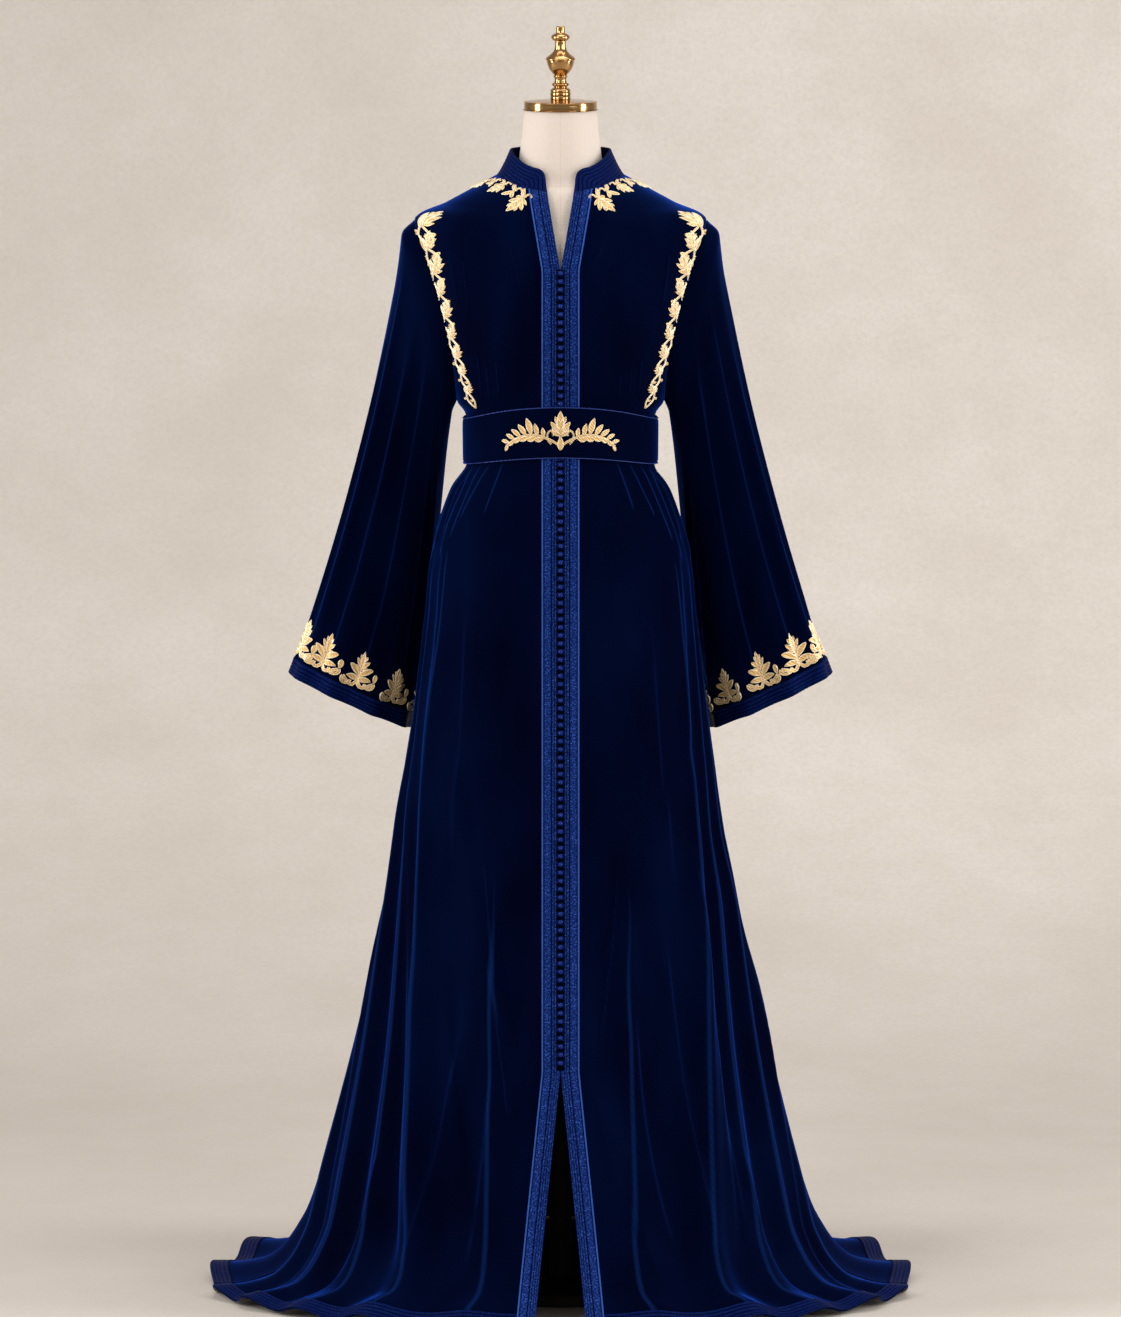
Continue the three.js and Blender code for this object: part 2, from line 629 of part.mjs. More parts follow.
// The stand collar over a point of the neck seam, at a height from 0 at the seam to 1 at its top.
function collarPoint(seam, up) {
  const fromFront = Math.atan2(Math.abs(seam.x) / SECTIONS[0].side, -seam.y / SECTIONS[0].front);
  const seamStart = Math.asin(NECK_OPENING.half / SECTIONS[0].side);
  const topStart = Math.asin((NECK_OPENING.half + COLLAR.edgeInset) / COLLAR.side);
  const turn = mix(topStart, Math.PI, (fromFront - seamStart) / (Math.PI - seamStart));
  const depth = Math.cos(turn) > 0 ? COLLAR.front : COLLAR.back;
  const fromEdge = COLLAR.side * (turn - topStart);
  const round = COLLAR.corner * (1 - Math.sqrt(1 - clamp(1 - fromEdge / COLLAR.corner, 0, 1) ** 2));
  const risen = smooth((turn - COLLAR.riseFrom) / COLLAR.riseOver);
  const z = mix(COLLAR.frontTop, COLLAR.sideTop, risen) - round;
  const topX = Math.sign(seam.x) * COLLAR.side * Math.sin(turn);
  const top = new THREE.Vector3(topX, -depth * Math.cos(turn), z);
  const lean = up ** COLLAR.lean;
  return new THREE.Vector3(mix(seam.x, top.x, lean), mix(seam.y, top.y, lean), mix(seam.z, top.z, up));
}

// The neck seam's points, moved up off the cloth by the seam's gap.
function neckSeam(grid, columns) {
  return columns.map((column) => {
    const { point } = sample(grid, 0, column);
    const below = sample(grid, 1, column).point;
    return point.clone().addScaledVector(point.clone().sub(below).normalize(), GAP);
  });
}

const frontSeam = neckSeam(frontGrid, [0, 0.25, 0.6, 1, 3, 5, 7, 9, 11, FRONT_COLUMNS + 1]);
const backSeam = neckSeam(backGrid, [2, 4, 6, 8, BACK_COLUMNS - 1]);
const leftSeam = [...frontSeam, ...backSeam];
const seamPoints = [...leftSeam, ...leftSeam.map(flip).reverse()];
const collarGrid = pointGrid([1, 0.5, 0].map((up) => seamPoints.map((seam) => collarPoint(seam, up))));
add("collar", wall(collarGrid, -COLLAR.thick, 0), braid);

// ---------------------------------------------------------------- belt

// The belt's inner face, at a height from 0 at its lower edge to 1 at its upper edge.
function beltPoint(phi, up) {
  const front = Math.cos(phi) ** 2;
  const z = mix(BELT.bottom + BELT.bottomRise * front, BELT.top + BELT.topRise * front, Math.round(up));
  const p = trunk(phi, trunkRow(z));
  return p.addScaledVector(new THREE.Vector3(p.x, p.y, 0).normalize(), BELT.clear);
}

const BELT_COLUMNS = 44;
const beltAngles = upTo(BELT_COLUMNS - 1).map((k) => (2 * Math.PI * k) / BELT_COLUMNS);
const beltGrid = pointGrid([1, 0].map((up) => beltAngles.map((phi) => beltPoint(phi, up))), true);
add("belt", wall(beltGrid, 0, BELT.thick, true), velvet);

// ---------------------------------------------------------------- buttons

// The frame of a point on a surface: its Z axis points out and its Y axis up the cloth.
function frameOn(point, outward, up) {
  const z = outward.clone().normalize();
  const x = up.clone().cross(z).normalize();
  const y = z.clone().cross(x);
  return new THREE.Matrix4().makeBasis(x, y, z).setPosition(point);
}

const UP = new THREE.Vector3(0, 0, 1);

// The row of the front's grid, as a fraction, where the front edge comes down to height z.
function frontRow(z) {
  const heights = frontGrid.points.map((row) => row[0].z);
  const i = clamp(heights.findIndex((height) => height < z) - 1, 0, heights.length - 2);
  return i + (heights[i] - z) / (heights[i] - heights[i + 1]);
}

// A strip of cord loops down the front, with a button on it at every pitch.
function buttonStrip({ from, to }) {
  const [first, last] = [frontRow(from), frontRow(to)];
  const rows = [first, ...upTo(lastRow).filter((i) => i > first && i < last), last];
  const under = BRAID.thick + 2 * GAP + LOOPS.crown;
  const edge = resample(frontGrid, rows, [LOOPS.half / BRAID.width]);
  const bothEdges = (table) => table.map(([right]) => [flip(right), right]);
  const grid = { points: bothEdges(edge.points), normals: bothEdges(edge.normals) };
  const solids = [toSolid(wall(grid, under, under + LOOPS.thick))];
  for (let z = from - BUTTON.pitch / 2; z > to + BUTTON.radius; z -= BUTTON.pitch) {
    const { point, normal } = sample(frontGrid, frontRow(z), LOOPS.half / BRAID.width);
    const button = new THREE.ConeGeometry(BUTTON.radius, BUTTON.height + BUTTON.sunk, 6);
    button.rotateX(Math.PI / 2);
    button.translate(0, 0, (BUTTON.height - BUTTON.sunk) / 2);
    const seat = point.addScaledVector(normal, under + LOOPS.thick).setX(0);
    button.applyMatrix4(frameOn(seat, normal.setX(0), UP));
    solids.push(toSolid(button));
  }
  return toGeometry(joinAll(solids));
}

add("buttons_upper", buttonStrip(BUTTON_ROWS.upper), knot);
add("buttons_lower", buttonStrip(BUTTON_ROWS.lower), knot);

// ---------------------------------------------------------------- applique motifs

const MOTIF_REACH = 14; // how far a motif's cutter goes into and out of the cloth

// The frame on the front of the trunk at a distance x from the centre and a height z.
function frontFrame(x, z) {
  const t = trunkRow(z, 1);
  const phi = angleAtX(alongTable(SECTIONS, t), x);
  const grid = surfaceGrid(trunk, [phi], [t]);
  return frameOn(grid.points[0][0], grid.normals[0][0], UP);
}

// Half outlines of motifs that grow up from the origin, as shares of their width and length.
const LEAF = [
  [0.12, 0],
  [0.5, 0.42],
];
const LOBED_LEAF = [
  [0.12, 0],
  [0.5, 0.34],
  [0.24, 0.42],
  [0.28, 0.68],
];

function motif(half, length, width) {
  const other = half.map(([x, y]) => [-x, y]).reverse();
  return new THREE.Shape([...half, [0, 1], ...other].map(([x, y]) => new THREE.Vector2(x * width, y * length)));
}

// A shape cut straight through the cloth at a frame, turned in its plane.
function cutter(shape, frame, angle = 0) {
  const solid = new THREE.ExtrudeGeometry(shape, { depth: 2 * MOTIF_REACH, bevelEnabled: false });
  solid.translate(0, 0, -MOTIF_REACH);
  solid.rotateZ(radians(angle));
  solid.applyMatrix4(frame);
  return toSolid(solid);
}

// A straight piece of stem between two frames.
function stem(from, to, width) {
  const start = new THREE.Vector3().setFromMatrixPosition(from);
  const end = new THREE.Vector3().setFromMatrixPosition(to);
  const outward = new THREE.Vector3().setFromMatrixColumn(from, 2);
  const frame = frameOn(start.clone().lerp(end, 0.5), outward, end.clone().sub(start));
  const reach = start.distanceTo(end) / 2 + width / 2;
  const box = new THREE.BoxGeometry(width, 2 * reach, 2 * MOTIF_REACH);
  box.applyMatrix4(frame);
  return toSolid(box);
}

// Applique: the part of a raised layer of cloth that lies inside the motifs.
function applique(grid, motifs, ring = false, under = APPLIQUE.clear) {
  const layer = toSolid(wall(grid, under, under + APPLIQUE.thick, ring));
  return toGeometry(layer.intersect(joinAll(motifs)).asOriginal().simplify(APPLIQUE.clear - GAP / 2));
}

// ---------------------------------------------------------------- armhole vine

const VINE_LEAVES = 9;
const VINE_STEM = 4;
// The vine's leaves: length and width as shares of the vine's width, and their turn from its run.
const VINE_LEAF = { length: 0.95, width: 0.42, turn: 34 };
const VINE_LOBED_LEAF = { length: 1.05, width: 0.8, turn: 34 };
const VINE_SMALL_LEAF = { length: 0.62, width: 0.34, turn: -62 };
const VINE_TILT = -8; // of the leaves to one side against those to the other

function vineMotifs() {
  const motifs = [];
  const place = (leaf) => {
    const v = alongTable(VINE, (leaf * (VINE.length - 1)) / VINE_LEAVES);
    return { frame: frontFrame(v.x, v.z), width: v.width };
  };
  for (let k = 0; k < VINE_LEAVES; k++) {
    const { frame, width } = place(k + 1);
    const side = k % 2 ? -1 : 1;
    const leaf = (half, size, tilt = 0) => {
      const shape = motif(half, width * size.length, width * size.width);
      motifs.push(cutter(shape, frame, side * size.turn + tilt));
    };
    motifs.push(stem(place(k).frame, frame, VINE_STEM));
    if (k % 3 === 0) leaf(LOBED_LEAF, VINE_LOBED_LEAF, VINE_TILT);
    else {
      leaf(LEAF, VINE_LEAF, VINE_TILT);
      leaf(LEAF, VINE_SMALL_LEAF);
    }
  }
  return motifs;
}

const vineGrid = part(frontGrid, rowOf(SHOULDER) - 1, rowOf(UNDERARM), 6);
addPair("applique_armhole", applique(vineGrid, vineMotifs()), gold);

// ---------------------------------------------------------------- belt ornament

const BELT_FLATNESS = 1.3; // how much faster the belt turns away at the sides than a circle
const BELT_SPRAY = {
  route: [0, 18, 36, 53, 66], // from the centre out to the side
  up: 0.4, // the share of the belt's height where the spray leaves the centre
  fall: 0.02, // how much lower, as a share of the height, each place of the route is
  stem: 4.2,
  turns: { above: 38, below: 128, tip: 100 },
};

function beltFrame(x, up) {
  const phi = Math.asin(x / (SECTIONS[WAIST].side + BELT.clear));
  const normal = new THREE.Vector3(Math.sin(phi), -Math.cos(phi) * BELT_FLATNESS, 0);
  const p = beltPoint(phi, 0).lerp(beltPoint(phi, 1), up);
  return frameOn(p, normal, UP);
}

// A lobed leaf with its foot at the centre, and a spray of shrinking leaves to either side.
function beltMotifs() {
  const centre = beltFrame(0, BELT_SPRAY.up + 0.06);
  const motifs = [cutter(motif(LOBED_LEAF, 30, 30), centre), cutter(motif(LEAF, 19, 13), centre, 180)];
  const { turns } = BELT_SPRAY;
  for (const side of [-1, 1]) {
    const leaf = (frame, length, width, turn) =>
      motifs.push(cutter(motif(LEAF, length, width), frame, side * turn));
    leaf(centre, 21, 9, 62);
    const places = BELT_SPRAY.route.map((x, k) => beltFrame(-side * x, BELT_SPRAY.up - BELT_SPRAY.fall * k));
    places.slice(1).forEach((frame, k) => {
      const length = 24 - 4 * k;
      motifs.push(stem(places[k], frame, BELT_SPRAY.stem));
      leaf(frame, length, 10 - k, turns.above);
      if (k > 0) leaf(frame, length * 0.7, 8 - k, turns.below);
    });
    leaf(places.at(-1), 15, 6.5, turns.tip);
  }
  return motifs;
}

const ORNAMENT_COLUMNS = 8; // of the belt's grid to either side of the centre front, under its ornament
const aroundFront = (row) => [...row.slice(-ORNAMENT_COLUMNS), ...row.slice(0, ORNAMENT_COLUMNS + 1)];
const ornamentGrid = {
  points: beltGrid.points.map(aroundFront),
  normals: beltGrid.normals.map(aroundFront),
};
add("applique_belt", applique(ornamentGrid, beltMotifs(), false, BELT.thick + APPLIQUE.clear), gold);

// ---------------------------------------------------------------- ornaments beside the collar

// The run of its stem, from beside the braid out to the side, with the turn of the leaves there.
const NECK_RUN = [
  { x: 47, z: 1424, turn: 150 },
  { x: 63, z: 1430, turn: 205 },
  { x: 84, z: 1437, turn: 222 },
  { x: 106, z: 1433, turn: 240 },
];
const NECK_STEM = 4.5;
const NECK_LEAF_SPREAD = 30; // degrees by which the two leaves of a place turn to either side

function neckMotifs() {
  const places = NECK_RUN.map(({ x, z, turn }) => ({ frame: frontFrame(x, z), turn }));
  const start = places[0].frame;
  const motifs = [cutter(motif(LOBED_LEAF, 24, 20), start, NECK_RUN[0].turn)];
  motifs.push(cutter(motif(LEAF, 15, 8), start, 70));
  places.slice(1).forEach(({ frame, turn }, k) => {
    motifs.push(stem(places[k].frame, frame, NECK_STEM));
    motifs.push(cutter(motif(LEAF, 27 - 3 * k, 12), frame, turn - NECK_LEAF_SPREAD));
    motifs.push(cutter(motif(LEAF, 16, 8), frame, turn + NECK_LEAF_SPREAD));
  });
  return motifs;
}

const neckGrid = besideBraid(0, rowOf(SHOULDER) + 1, 11);
addPair("applique_neck", applique(neckGrid, neckMotifs()), gold);

// ---------------------------------------------------------------- border above the cuffs

function sleeveFrame(turn, t) {
  const grid = surfaceGrid(sleevePoint, [turn], [t]);
  const down = sleevePoint(turn, t + 0.1).sub(sleevePoint(turn, t));
  return frameOn(grid.points[0][0], grid.normals[0][0], down.negate());
}

const PALMETTES = 10; // round each cuff
const PALMETTE = { length: 38, width: 29, link: 7 };
const BORDER_FOOT = SLEEVE_SECTIONS.length - 2.15; // the sleeve row of the palmettes' feet
const BORDER_DIP = 0.05; // how much lower the links are half way between two palmettes
const BORDER_CLEAR = 0.03; // share of a row that the border ends above the braid

function cuffMotifs() {
  const motifs = [];
  for (let k = 0; k < PALMETTES; k++) {
    const frame = sleeveFrame((k + 0.5) / PALMETTES, BORDER_FOOT);
    const halfway = sleeveFrame((k + 1) / PALMETTES, BORDER_FOOT + BORDER_DIP);
    const next = sleeveFrame((k + 1.5) / PALMETTES, BORDER_FOOT);
    motifs.push(cutter(motif(LOBED_LEAF, PALMETTE.length, PALMETTE.width), frame));
    motifs.push(stem(frame, halfway, PALMETTE.link));
    motifs.push(stem(halfway, next, PALMETTE.link));
  }
  return motifs;
}

const borderGrid = part(sleeveGrid, cuffRow - 3, cuffRow - 1);
const lowest = borderGrid.points.length - 1;
borderGrid.points[lowest] = borderGrid.points[lowest].map((p, j) =>
  p.clone().lerp(borderGrid.points[lowest - 1][j], BORDER_CLEAR),
);
addPair("applique_cuff", applique(borderGrid, cuffMotifs(), true), gold);

// ---------------------------------------------------------------- dress form and stand

const FORM_COLUMNS = 24;
const formRings = FORM_SECTIONS.map((s) =>
  upTo(FORM_COLUMNS - 1).map((k) => onSection(s, (2 * Math.PI * k) / FORM_COLUMNS)),
);
add("form_body", loft(formRings), linen);

const capOutline = [
  { radius: NECK_CAP.radius, up: 0 },
  { radius: NECK_CAP.radius, up: NECK_CAP.thick },
  { radius: NECK_CAP.radius * 0.6, up: NECK_CAP.thick + NECK_CAP.dome },
];
add("form_neck_cap", turned(capOutline, 24, NECK_CAP.bottom), brass);
add("form_finial", turned(FINIAL, 12, NECK_CAP.bottom + NECK_CAP.thick + NECK_CAP.dome + GAP), brass);

const plateTop = FORM_SECTIONS[0].z - GAP;
const plateOutline = [
  { radius: PLATE.radius, up: 0 },
  { radius: PLATE.radius, up: PLATE.thick },
];
add("form_base_plate", turned(plateOutline, 24, plateTop - PLATE.thick), darkMetal);
const poleOutline = [
  { radius: POLE_RADIUS, up: BASE.thick + GAP },
  { radius: POLE_RADIUS, up: plateTop - PLATE.thick - GAP },
];
add("stand_pole", turned(poleOutline, 16), darkMetal);
const baseOutline = [
  { radius: BASE.radius, up: 0 },
  { radius: BASE.radius, up: BASE.thick - BASE.bevel },
  { radius: BASE.radius - BASE.bevel, up: BASE.thick },
];
add("stand_base", turned(baseOutline, 32), darkMetal);

export default kaftan;
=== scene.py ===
"""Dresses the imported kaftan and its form: velvet, braid, knotted buttons, gold applique, linen and brass."""

import math
from functools import partial, wraps

import bpy
import numpy as np
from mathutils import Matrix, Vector


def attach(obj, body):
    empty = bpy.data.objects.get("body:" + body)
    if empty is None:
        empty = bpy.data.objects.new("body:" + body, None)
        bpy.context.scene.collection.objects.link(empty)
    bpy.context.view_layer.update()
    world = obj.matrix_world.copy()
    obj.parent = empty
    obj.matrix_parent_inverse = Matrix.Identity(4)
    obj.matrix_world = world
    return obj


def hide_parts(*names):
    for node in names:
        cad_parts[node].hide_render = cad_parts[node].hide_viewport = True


bl_info = {
    "name": "Velvet kaftan on a dress form",
    "version": (1, 0, 0),
    "blender": (4, 5, 0),
    "location": "3D View > Sidebar > Kaftan",
    "description": "Builds the velvet, braid, buttons, applique and dress form of a kaftan over its solids",
    "category": "Add Mesh",
}

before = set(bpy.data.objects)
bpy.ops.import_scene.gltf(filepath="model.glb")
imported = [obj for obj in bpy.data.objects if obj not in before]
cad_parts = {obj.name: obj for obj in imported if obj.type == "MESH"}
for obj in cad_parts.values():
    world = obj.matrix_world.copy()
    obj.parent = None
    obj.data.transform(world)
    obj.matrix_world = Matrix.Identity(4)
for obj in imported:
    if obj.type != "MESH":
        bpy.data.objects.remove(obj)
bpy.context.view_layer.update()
MM = 0.001

# ------------------------------------------------------------------ tables, in millimetres and degrees

# Cross-sections of the trunk from the neck seam to the hem: height, half width, depth to the front and
# to the back, how boxy, how much higher the centre front is, and 0 to 1 as the cloth comes to lie down.
SECTIONS = np.array([
    (1459, 83, 70, 66, 0, -19, 0),
    (1444, 110, 78, 76, 0.01, -12, 0),
    (1424, 147, 84, 84, 0.02, -5, 0),
    (1400, 190, 91, 90, 0.03, 0, 0),
    (1345, 176, 104, 96, 0.04, 0, 0),
    (1262, 155, 114, 97, 0.04, 0, 0),
    (1200, 142, 102, 91, 0.03, 0, 0),
    (1166, 134.5, 92, 87, 0.02, 0, 0),
    (1144, 122, 89, 84, 0.01, 0, 0),
    (1084, 121.5, 89, 85, 0.01, 0, 0),
    (1046, 143, 98, 101, 0.02, 0, 0),
    (965, 168, 110, 124, 0.02, 0, 0),
    (880, 175, 118, 137, 0.02, 0, 0),
    (770, 186, 134, 155, 0.01, 0, 0),
    (580, 208, 172, 202, 0, 0, 0),
    (346, 246, 226, 272, 0, 0, 0),
    (138, 298, 280, 358, 0, 6, 0.05),
    (70, 326, 302, 404, 0, 16, 0.15),
    (26, 362, 318, 454, 0, 24, 0.45),
    (7, 404, 329, 502, 0, 26, 0.9),
    (3, 428, 335, 528, 0, 21, 1),
    (2, 452, 342, 554, 0, 0, 1),
])
SHOULDER, UNDERARM, HEM_TOP, HEM = 3, 7, 20, 21  # rows of the table above
STANDING = 16  # the last row where the skirt still hangs

# Long folds of the skirt on both sides: angle round from the front at the hip and at the hem, depth and
# half angle at the hem, and the height where the fold dies out.
FOLDS = [
    (28, 16, 9, 4.5, 620),
    (62, 33, 24, 5, 1020),
    (74, 47, 22, 5, 960),
    (81, 61, 27, 5, 1000),
    (87, 76, 25, 5.5, 920),
    (101, 99, 28, 6, 980),
    (118, 117, 33, 6, 940),
    (135, 135, 38, 6, 1020),
    (152, 153, 34, 6, 940),
    (169, 170, 36, 6, 1020),
]
HIP = 875
FOLD_TIGHTENING = 0.45
WAIST_CREASES_END = 950

# Creases of the front as they run seen from the front: x and height at the top, middle and bottom, how
# high the ridge is (or how deep the trough), its width, and the side it falls away on steeply (0: none).
FRONT_CREASES = [
    (-66, 1402, -44, 1365, -26, 1322, 2.2, 9, 1),
    (-74, 1396, -57, 1340, -45, 1290, 1.6, 12, 1),
    (64, 1398, 50, 1362, 28, 1324, 2.2, 9, -1),
    (75, 1390, 62, 1345, 52, 1296, 1.5, 12, -1),
    (-146, 1380, -138, 1332, -131, 1288, 2.4, 8, 1),
    (-130, 1372, -124, 1330, -120, 1270, 1.5, 9, 1),
    (142, 1374, 137, 1330, 130, 1284, 2.2, 8, -1),
    (-108, 1240, -104, 1206, -101, 1170, 2.4, 6, 1),
    (-96, 1226, -94, 1200, -92, 1168, 1.8, 5, 1),
    (-84, 1232, -82, 1204, -79, 1172, 1.2, 6, 1),
    (106, 1238, 103, 1206, 100, 1170, 2.2, 6, -1),
    (92, 1224, 90, 1198, 88, 1168, 1.8, 5, -1),
    (78, 1214, 77, 1196, 76, 1172, 1.1, 6, -1),
    (-84, 1096, -106, 1058, -128, 1012, 2.8, 6, -1),
    (-96, 1094, -116, 1052, -142, 985, 3.2, 7, -1),
    (-104, 1092, -126, 1050, -156, 960, 3.4, 7, -1),
    (-70, 1098, -84, 1062, -100, 1020, 1.8, 6, -1),
    (84, 1096, 102, 1058, 122, 1016, 2.8, 6, 1),
    (97, 1094, 117, 1050, 144, 980, 3.2, 7, 1),
    (106, 1092, 127, 1048, 157, 955, 3.2, 7, 1),
    (69, 1098, 82, 1064, 95, 1026, 1.6, 6, 1),
    (-165, 895, -181, 560, -196, 20, 10, 20, -1),
    (-150, 820, -166, 520, -184, 60, 7, 18, -1),
    (162, 720, 178, 470, 224, 10, 10, 20, 1),
    (150, 640, 190, 330, 236, 40, 7, 16, 1),
    (-186, 760, -214, 480, -330, 30, 9, 16, -1),
    (200, 620, 240, 350, 332, 40, 9, 16, 1),
    (-132, 745, -94, 460, -46, 262, 7, 22, 1),
    (-150, 470, -136, 300, -108, 60, 7, 22, 1),
    (46, 300, 84, 170, 132, 10, 7, 20, -1),
    (160, 725, 98, 560, 54, 436, 6, 22, -1),
    (112, 900, 124, 700, 146, 480, 5, 20, 1),
    (-116, 930, -122, 760, -132, 560, 5, 20, -1),
    (92, 420, 104, 250, 150, 60, 7, 18, 1),
    (-84, 330, -96, 190, -120, 30, 7, 18, -1),
    (-140, 1000, -151, 880, -158, 740, 4, 10, -1),
    (143, 985, 153, 860, 160, 700, 4, 10, 1),
    (-104, 640, -84, 420, -60, 200, 4, 16, 1),
    (78, 610, 66, 470, 50, 330, 4, 16, -1),
    (128, 520, 152, 300, 190, 60, 6, 16, 1),
    (-118, 420, -150, 220, -196, 30, 6, 16, -1),
]

# Creases of the sides and back by angle round from the front (plus is the wearer's left): angle and
# height at the top and bottom, how far it bows, ridge height, width and the side it falls away on.
ROUND_CREASES = [
    (-172, 1092, -168, 940, 1, 3.0, 6, 1),
    (-160, 1090, -154, 965, 1, 3.4, 7, 1),
    (-149, 1092, -143, 990, -1, 2.6, 6, 1),
    (-138, 1090, -130, 930, 1, 3.4, 7, 1),
    (-126, 1090, -118, 1000, 1, 2.4, 6, 1),
    (-112, 1088, -106, 950, -1, 3.0, 7, 1),
    (-98, 1088, -94, 990, 1, 2.4, 6, -1),
    (177, 1092, 176, 985, 0, 2.8, 6, 1),
    (166, 1090, 161, 935, -1, 3.4, 7, -1),
    (154, 1092, 150, 1000, 1, 2.4, 6, -1),
    (143, 1090, 136, 960, 1, 3.2, 7, -1),
    (131, 1090, 124, 930, -1, 3.0, 7, -1),
    (117, 1088, 111, 990, 1, 2.6, 6, -1),
    (104, 1088, 99, 950, 1, 3.0, 7, 1),
    (-68, 1090, -70, 1000, 0, 2.6, 6, -1),
    (-80, 1088, -79, 975, 1, 2.8, 6, -1),
    (70, 1090, 72, 990, 0, 2.6, 6, 1),
    (82, 1088, 82, 960, 1, 2.8, 6, 1),
    (-168, 1240, -164, 1168, 1, 2.2, 7, 1),
    (-150, 1225, -146, 1168, 0, 1.8, 6, 1),
    (-128, 1232, -124, 1168, 1, 2.2, 7, -1),
    (172, 1228, 168, 1168, -1, 2.0, 7, 1),
    (149, 1240, 145, 1168, 0, 2.2, 7, -1),
    (127, 1222, 124, 1168, 1, 1.8, 6, -1),
    (-144, 760, -144, -60, 3, 8, 26, 1),
    (-126, 700, -125, -70, -2, 7, 24, -1),
    (-108, 640, -107, -50, 2, 8, 24, 1),
    (-161, 650, -161, -75, -2, 8, 26, -1),
    (-176, 600, -178, -70, 2, 8, 26, 1),
    (144, 720, 143, -65, -2, 8, 26, -1),
    (127, 660, 126, -70, 3, 7, 24, 1),
    (108, 700, 107, -50, -2, 8, 24, -1),
    (161, 610, 162, -75, 2, 8, 26, 1),
    (-84, 560, -68, -70, 2, 6, 18, -1),
    (-88, 480, -83, -70, -2, 7, 18, -1),
    (86, 520, 69, -70, -2, 6, 18, 1),
    (88, 470, 84, -70, 2, 7, 18, 1),
    (-52, 240, -54, -75, 1, 6, 14, -1),
    (53, 220, 54, -75, -1, 6, 14, 1),
]

# Sections of a sleeve below the armhole: its outer fold and inner fold, and how far the cloth bellies
# out in front of and behind the line between them.
SLEEVE_SECTIONS = np.array([
    (206, 2, 1380, 141, 8, 1148, 48, 48),
    (216, 4, 1308, 148, 34, 1094, 49, 52),
    (249, 8, 1152, 160, 76, 975, 49, 56),
    (290, 12, 996, 173, 86, 856, 53, 62),
    (328, 14, 872, 185, 89, 780, 58, 66),
    (345, 15, 830, 192, 90, 750, 60, 68),
    (353, 15, 809, 196, 90, 729, 61, 69),
])
CUFF_TOP, CUFF_END = 5, 6
SLEEVE_GIRTH = 420  # round the sleeve, about half way down
BORDER_RISE = 9  # how far above the cuff's braid the feet of the border's palmettes are
SLEEVE_FOLDS = [(0.1, 7), (0.2, 9), (0.3, 10), (0.4, 8), (0.6, 8), (0.7, 10), (0.8, 9), (0.9, 7)]
SLEEVE_SPREAD = 0.026

# Creases of a sleeve: turn (0 inner fold, 0.25 front, 0.5 outer fold) and row position at the top and
# bottom, height, width in turns, and the side it falls away on. The second list is the right sleeve's.
SLEEVE_CREASES = {
    1: [
        (0.24, 0.1, 0.235, 5.2, 4.5, 0.018, 1),
        (0.15, 0.9, 0.085, 5.0, 4.0, 0.014, -1),
        (0.12, 0.7, 0.05, 3.3, 3.5, 0.012, -1),
        (0.33, 0.3, 0.345, 4.6, 3.5, 0.02, 1),
        (0.41, 1.2, 0.43, 5.5, 4.0, 0.02, 1),
        (0.48, 0.4, 0.475, 4.0, 3.0, 0.016, 1),
        (0.58, 0.6, 0.56, 5.2, 4.0, 0.018, -1),
        (0.68, 0.2, 0.66, 4.8, 4.5, 0.02, -1),
        (0.77, 0.9, 0.75, 5.4, 4.5, 0.02, 1),
        (0.87, 1.1, 0.86, 4.2, 3.5, 0.016, 1),
    ],
    -1: [
        (0.23, 0.2, 0.245, 5.4, 4.5, 0.02, 1),
        (0.17, 0.5, 0.13, 4.6, 3.5, 0.014, -1),
        (0.11, 1.0, 0.06, 5.0, 4.0, 0.013, -1),
        (0.31, 0.6, 0.34, 5.0, 4.0, 0.018, 1),
        (0.4, 0.2, 0.41, 3.9, 3.0, 0.02, 1),
        (0.46, 1.1, 0.47, 5.3, 4.0, 0.016, 1),
        (0.57, 0.3, 0.58, 4.9, 4.0, 0.018, -1),
        (0.66, 0.8, 0.68, 5.4, 4.5, 0.02, -1),
        (0.78, 0.3, 0.76, 4.6, 4.0, 0.02, 1),
        (0.88, 0.9, 0.9, 5.1, 3.5, 0.016, 1),
    ],
}

# The dress form's body: height, half width, depth front and back, how boxy.
FORM_SECTIONS = np.array([
    (806, 130, 84, 94, 0),
    (860, 150, 95, 108, 0),
    (930, 158, 100, 113, 0.01),
    (985, 150, 96, 106, 0.01),
    (1046, 128, 86, 88, 0.01),
    (1112, 108, 78, 74, 0.01),
    (1166, 117, 82, 78, 0.01),
    (1225, 131, 96, 84, 0.02),
    (1280, 141, 103, 88, 0.03),
    (1345, 158, 94, 87, 0.03),
    (1378, 172, 87, 83, 0.02),
    (1397.6, 187, 80, 80, 0),
    (1421.4, 146, 73, 74, 0),
    (1441, 109.5, 62, 64, 0),
    (1452, 82, 52, 54, 0),
    (1468, 58, 49, 51, 0),
    (1500, 51, 48.5, 49, 0),
    (1543, 47, 47, 47, 0),
])

NECK_SEAM = 1448  # the height of the seam between the dress form's neck and chest
CAP_BASE = 1543.3  # the height of the neck cap's underside
FINIAL_BASE = CAP_BASE + 13.1
NECK_OPENING = (17, 1440, 1342)  # half width at the top, and the heights of its top and foot
SLIT = (34, 322)  # half width at the floor, and the height of its top
SIDES = (("left", 1), ("right", -1))
ARMHOLE_HOLLOW = 15
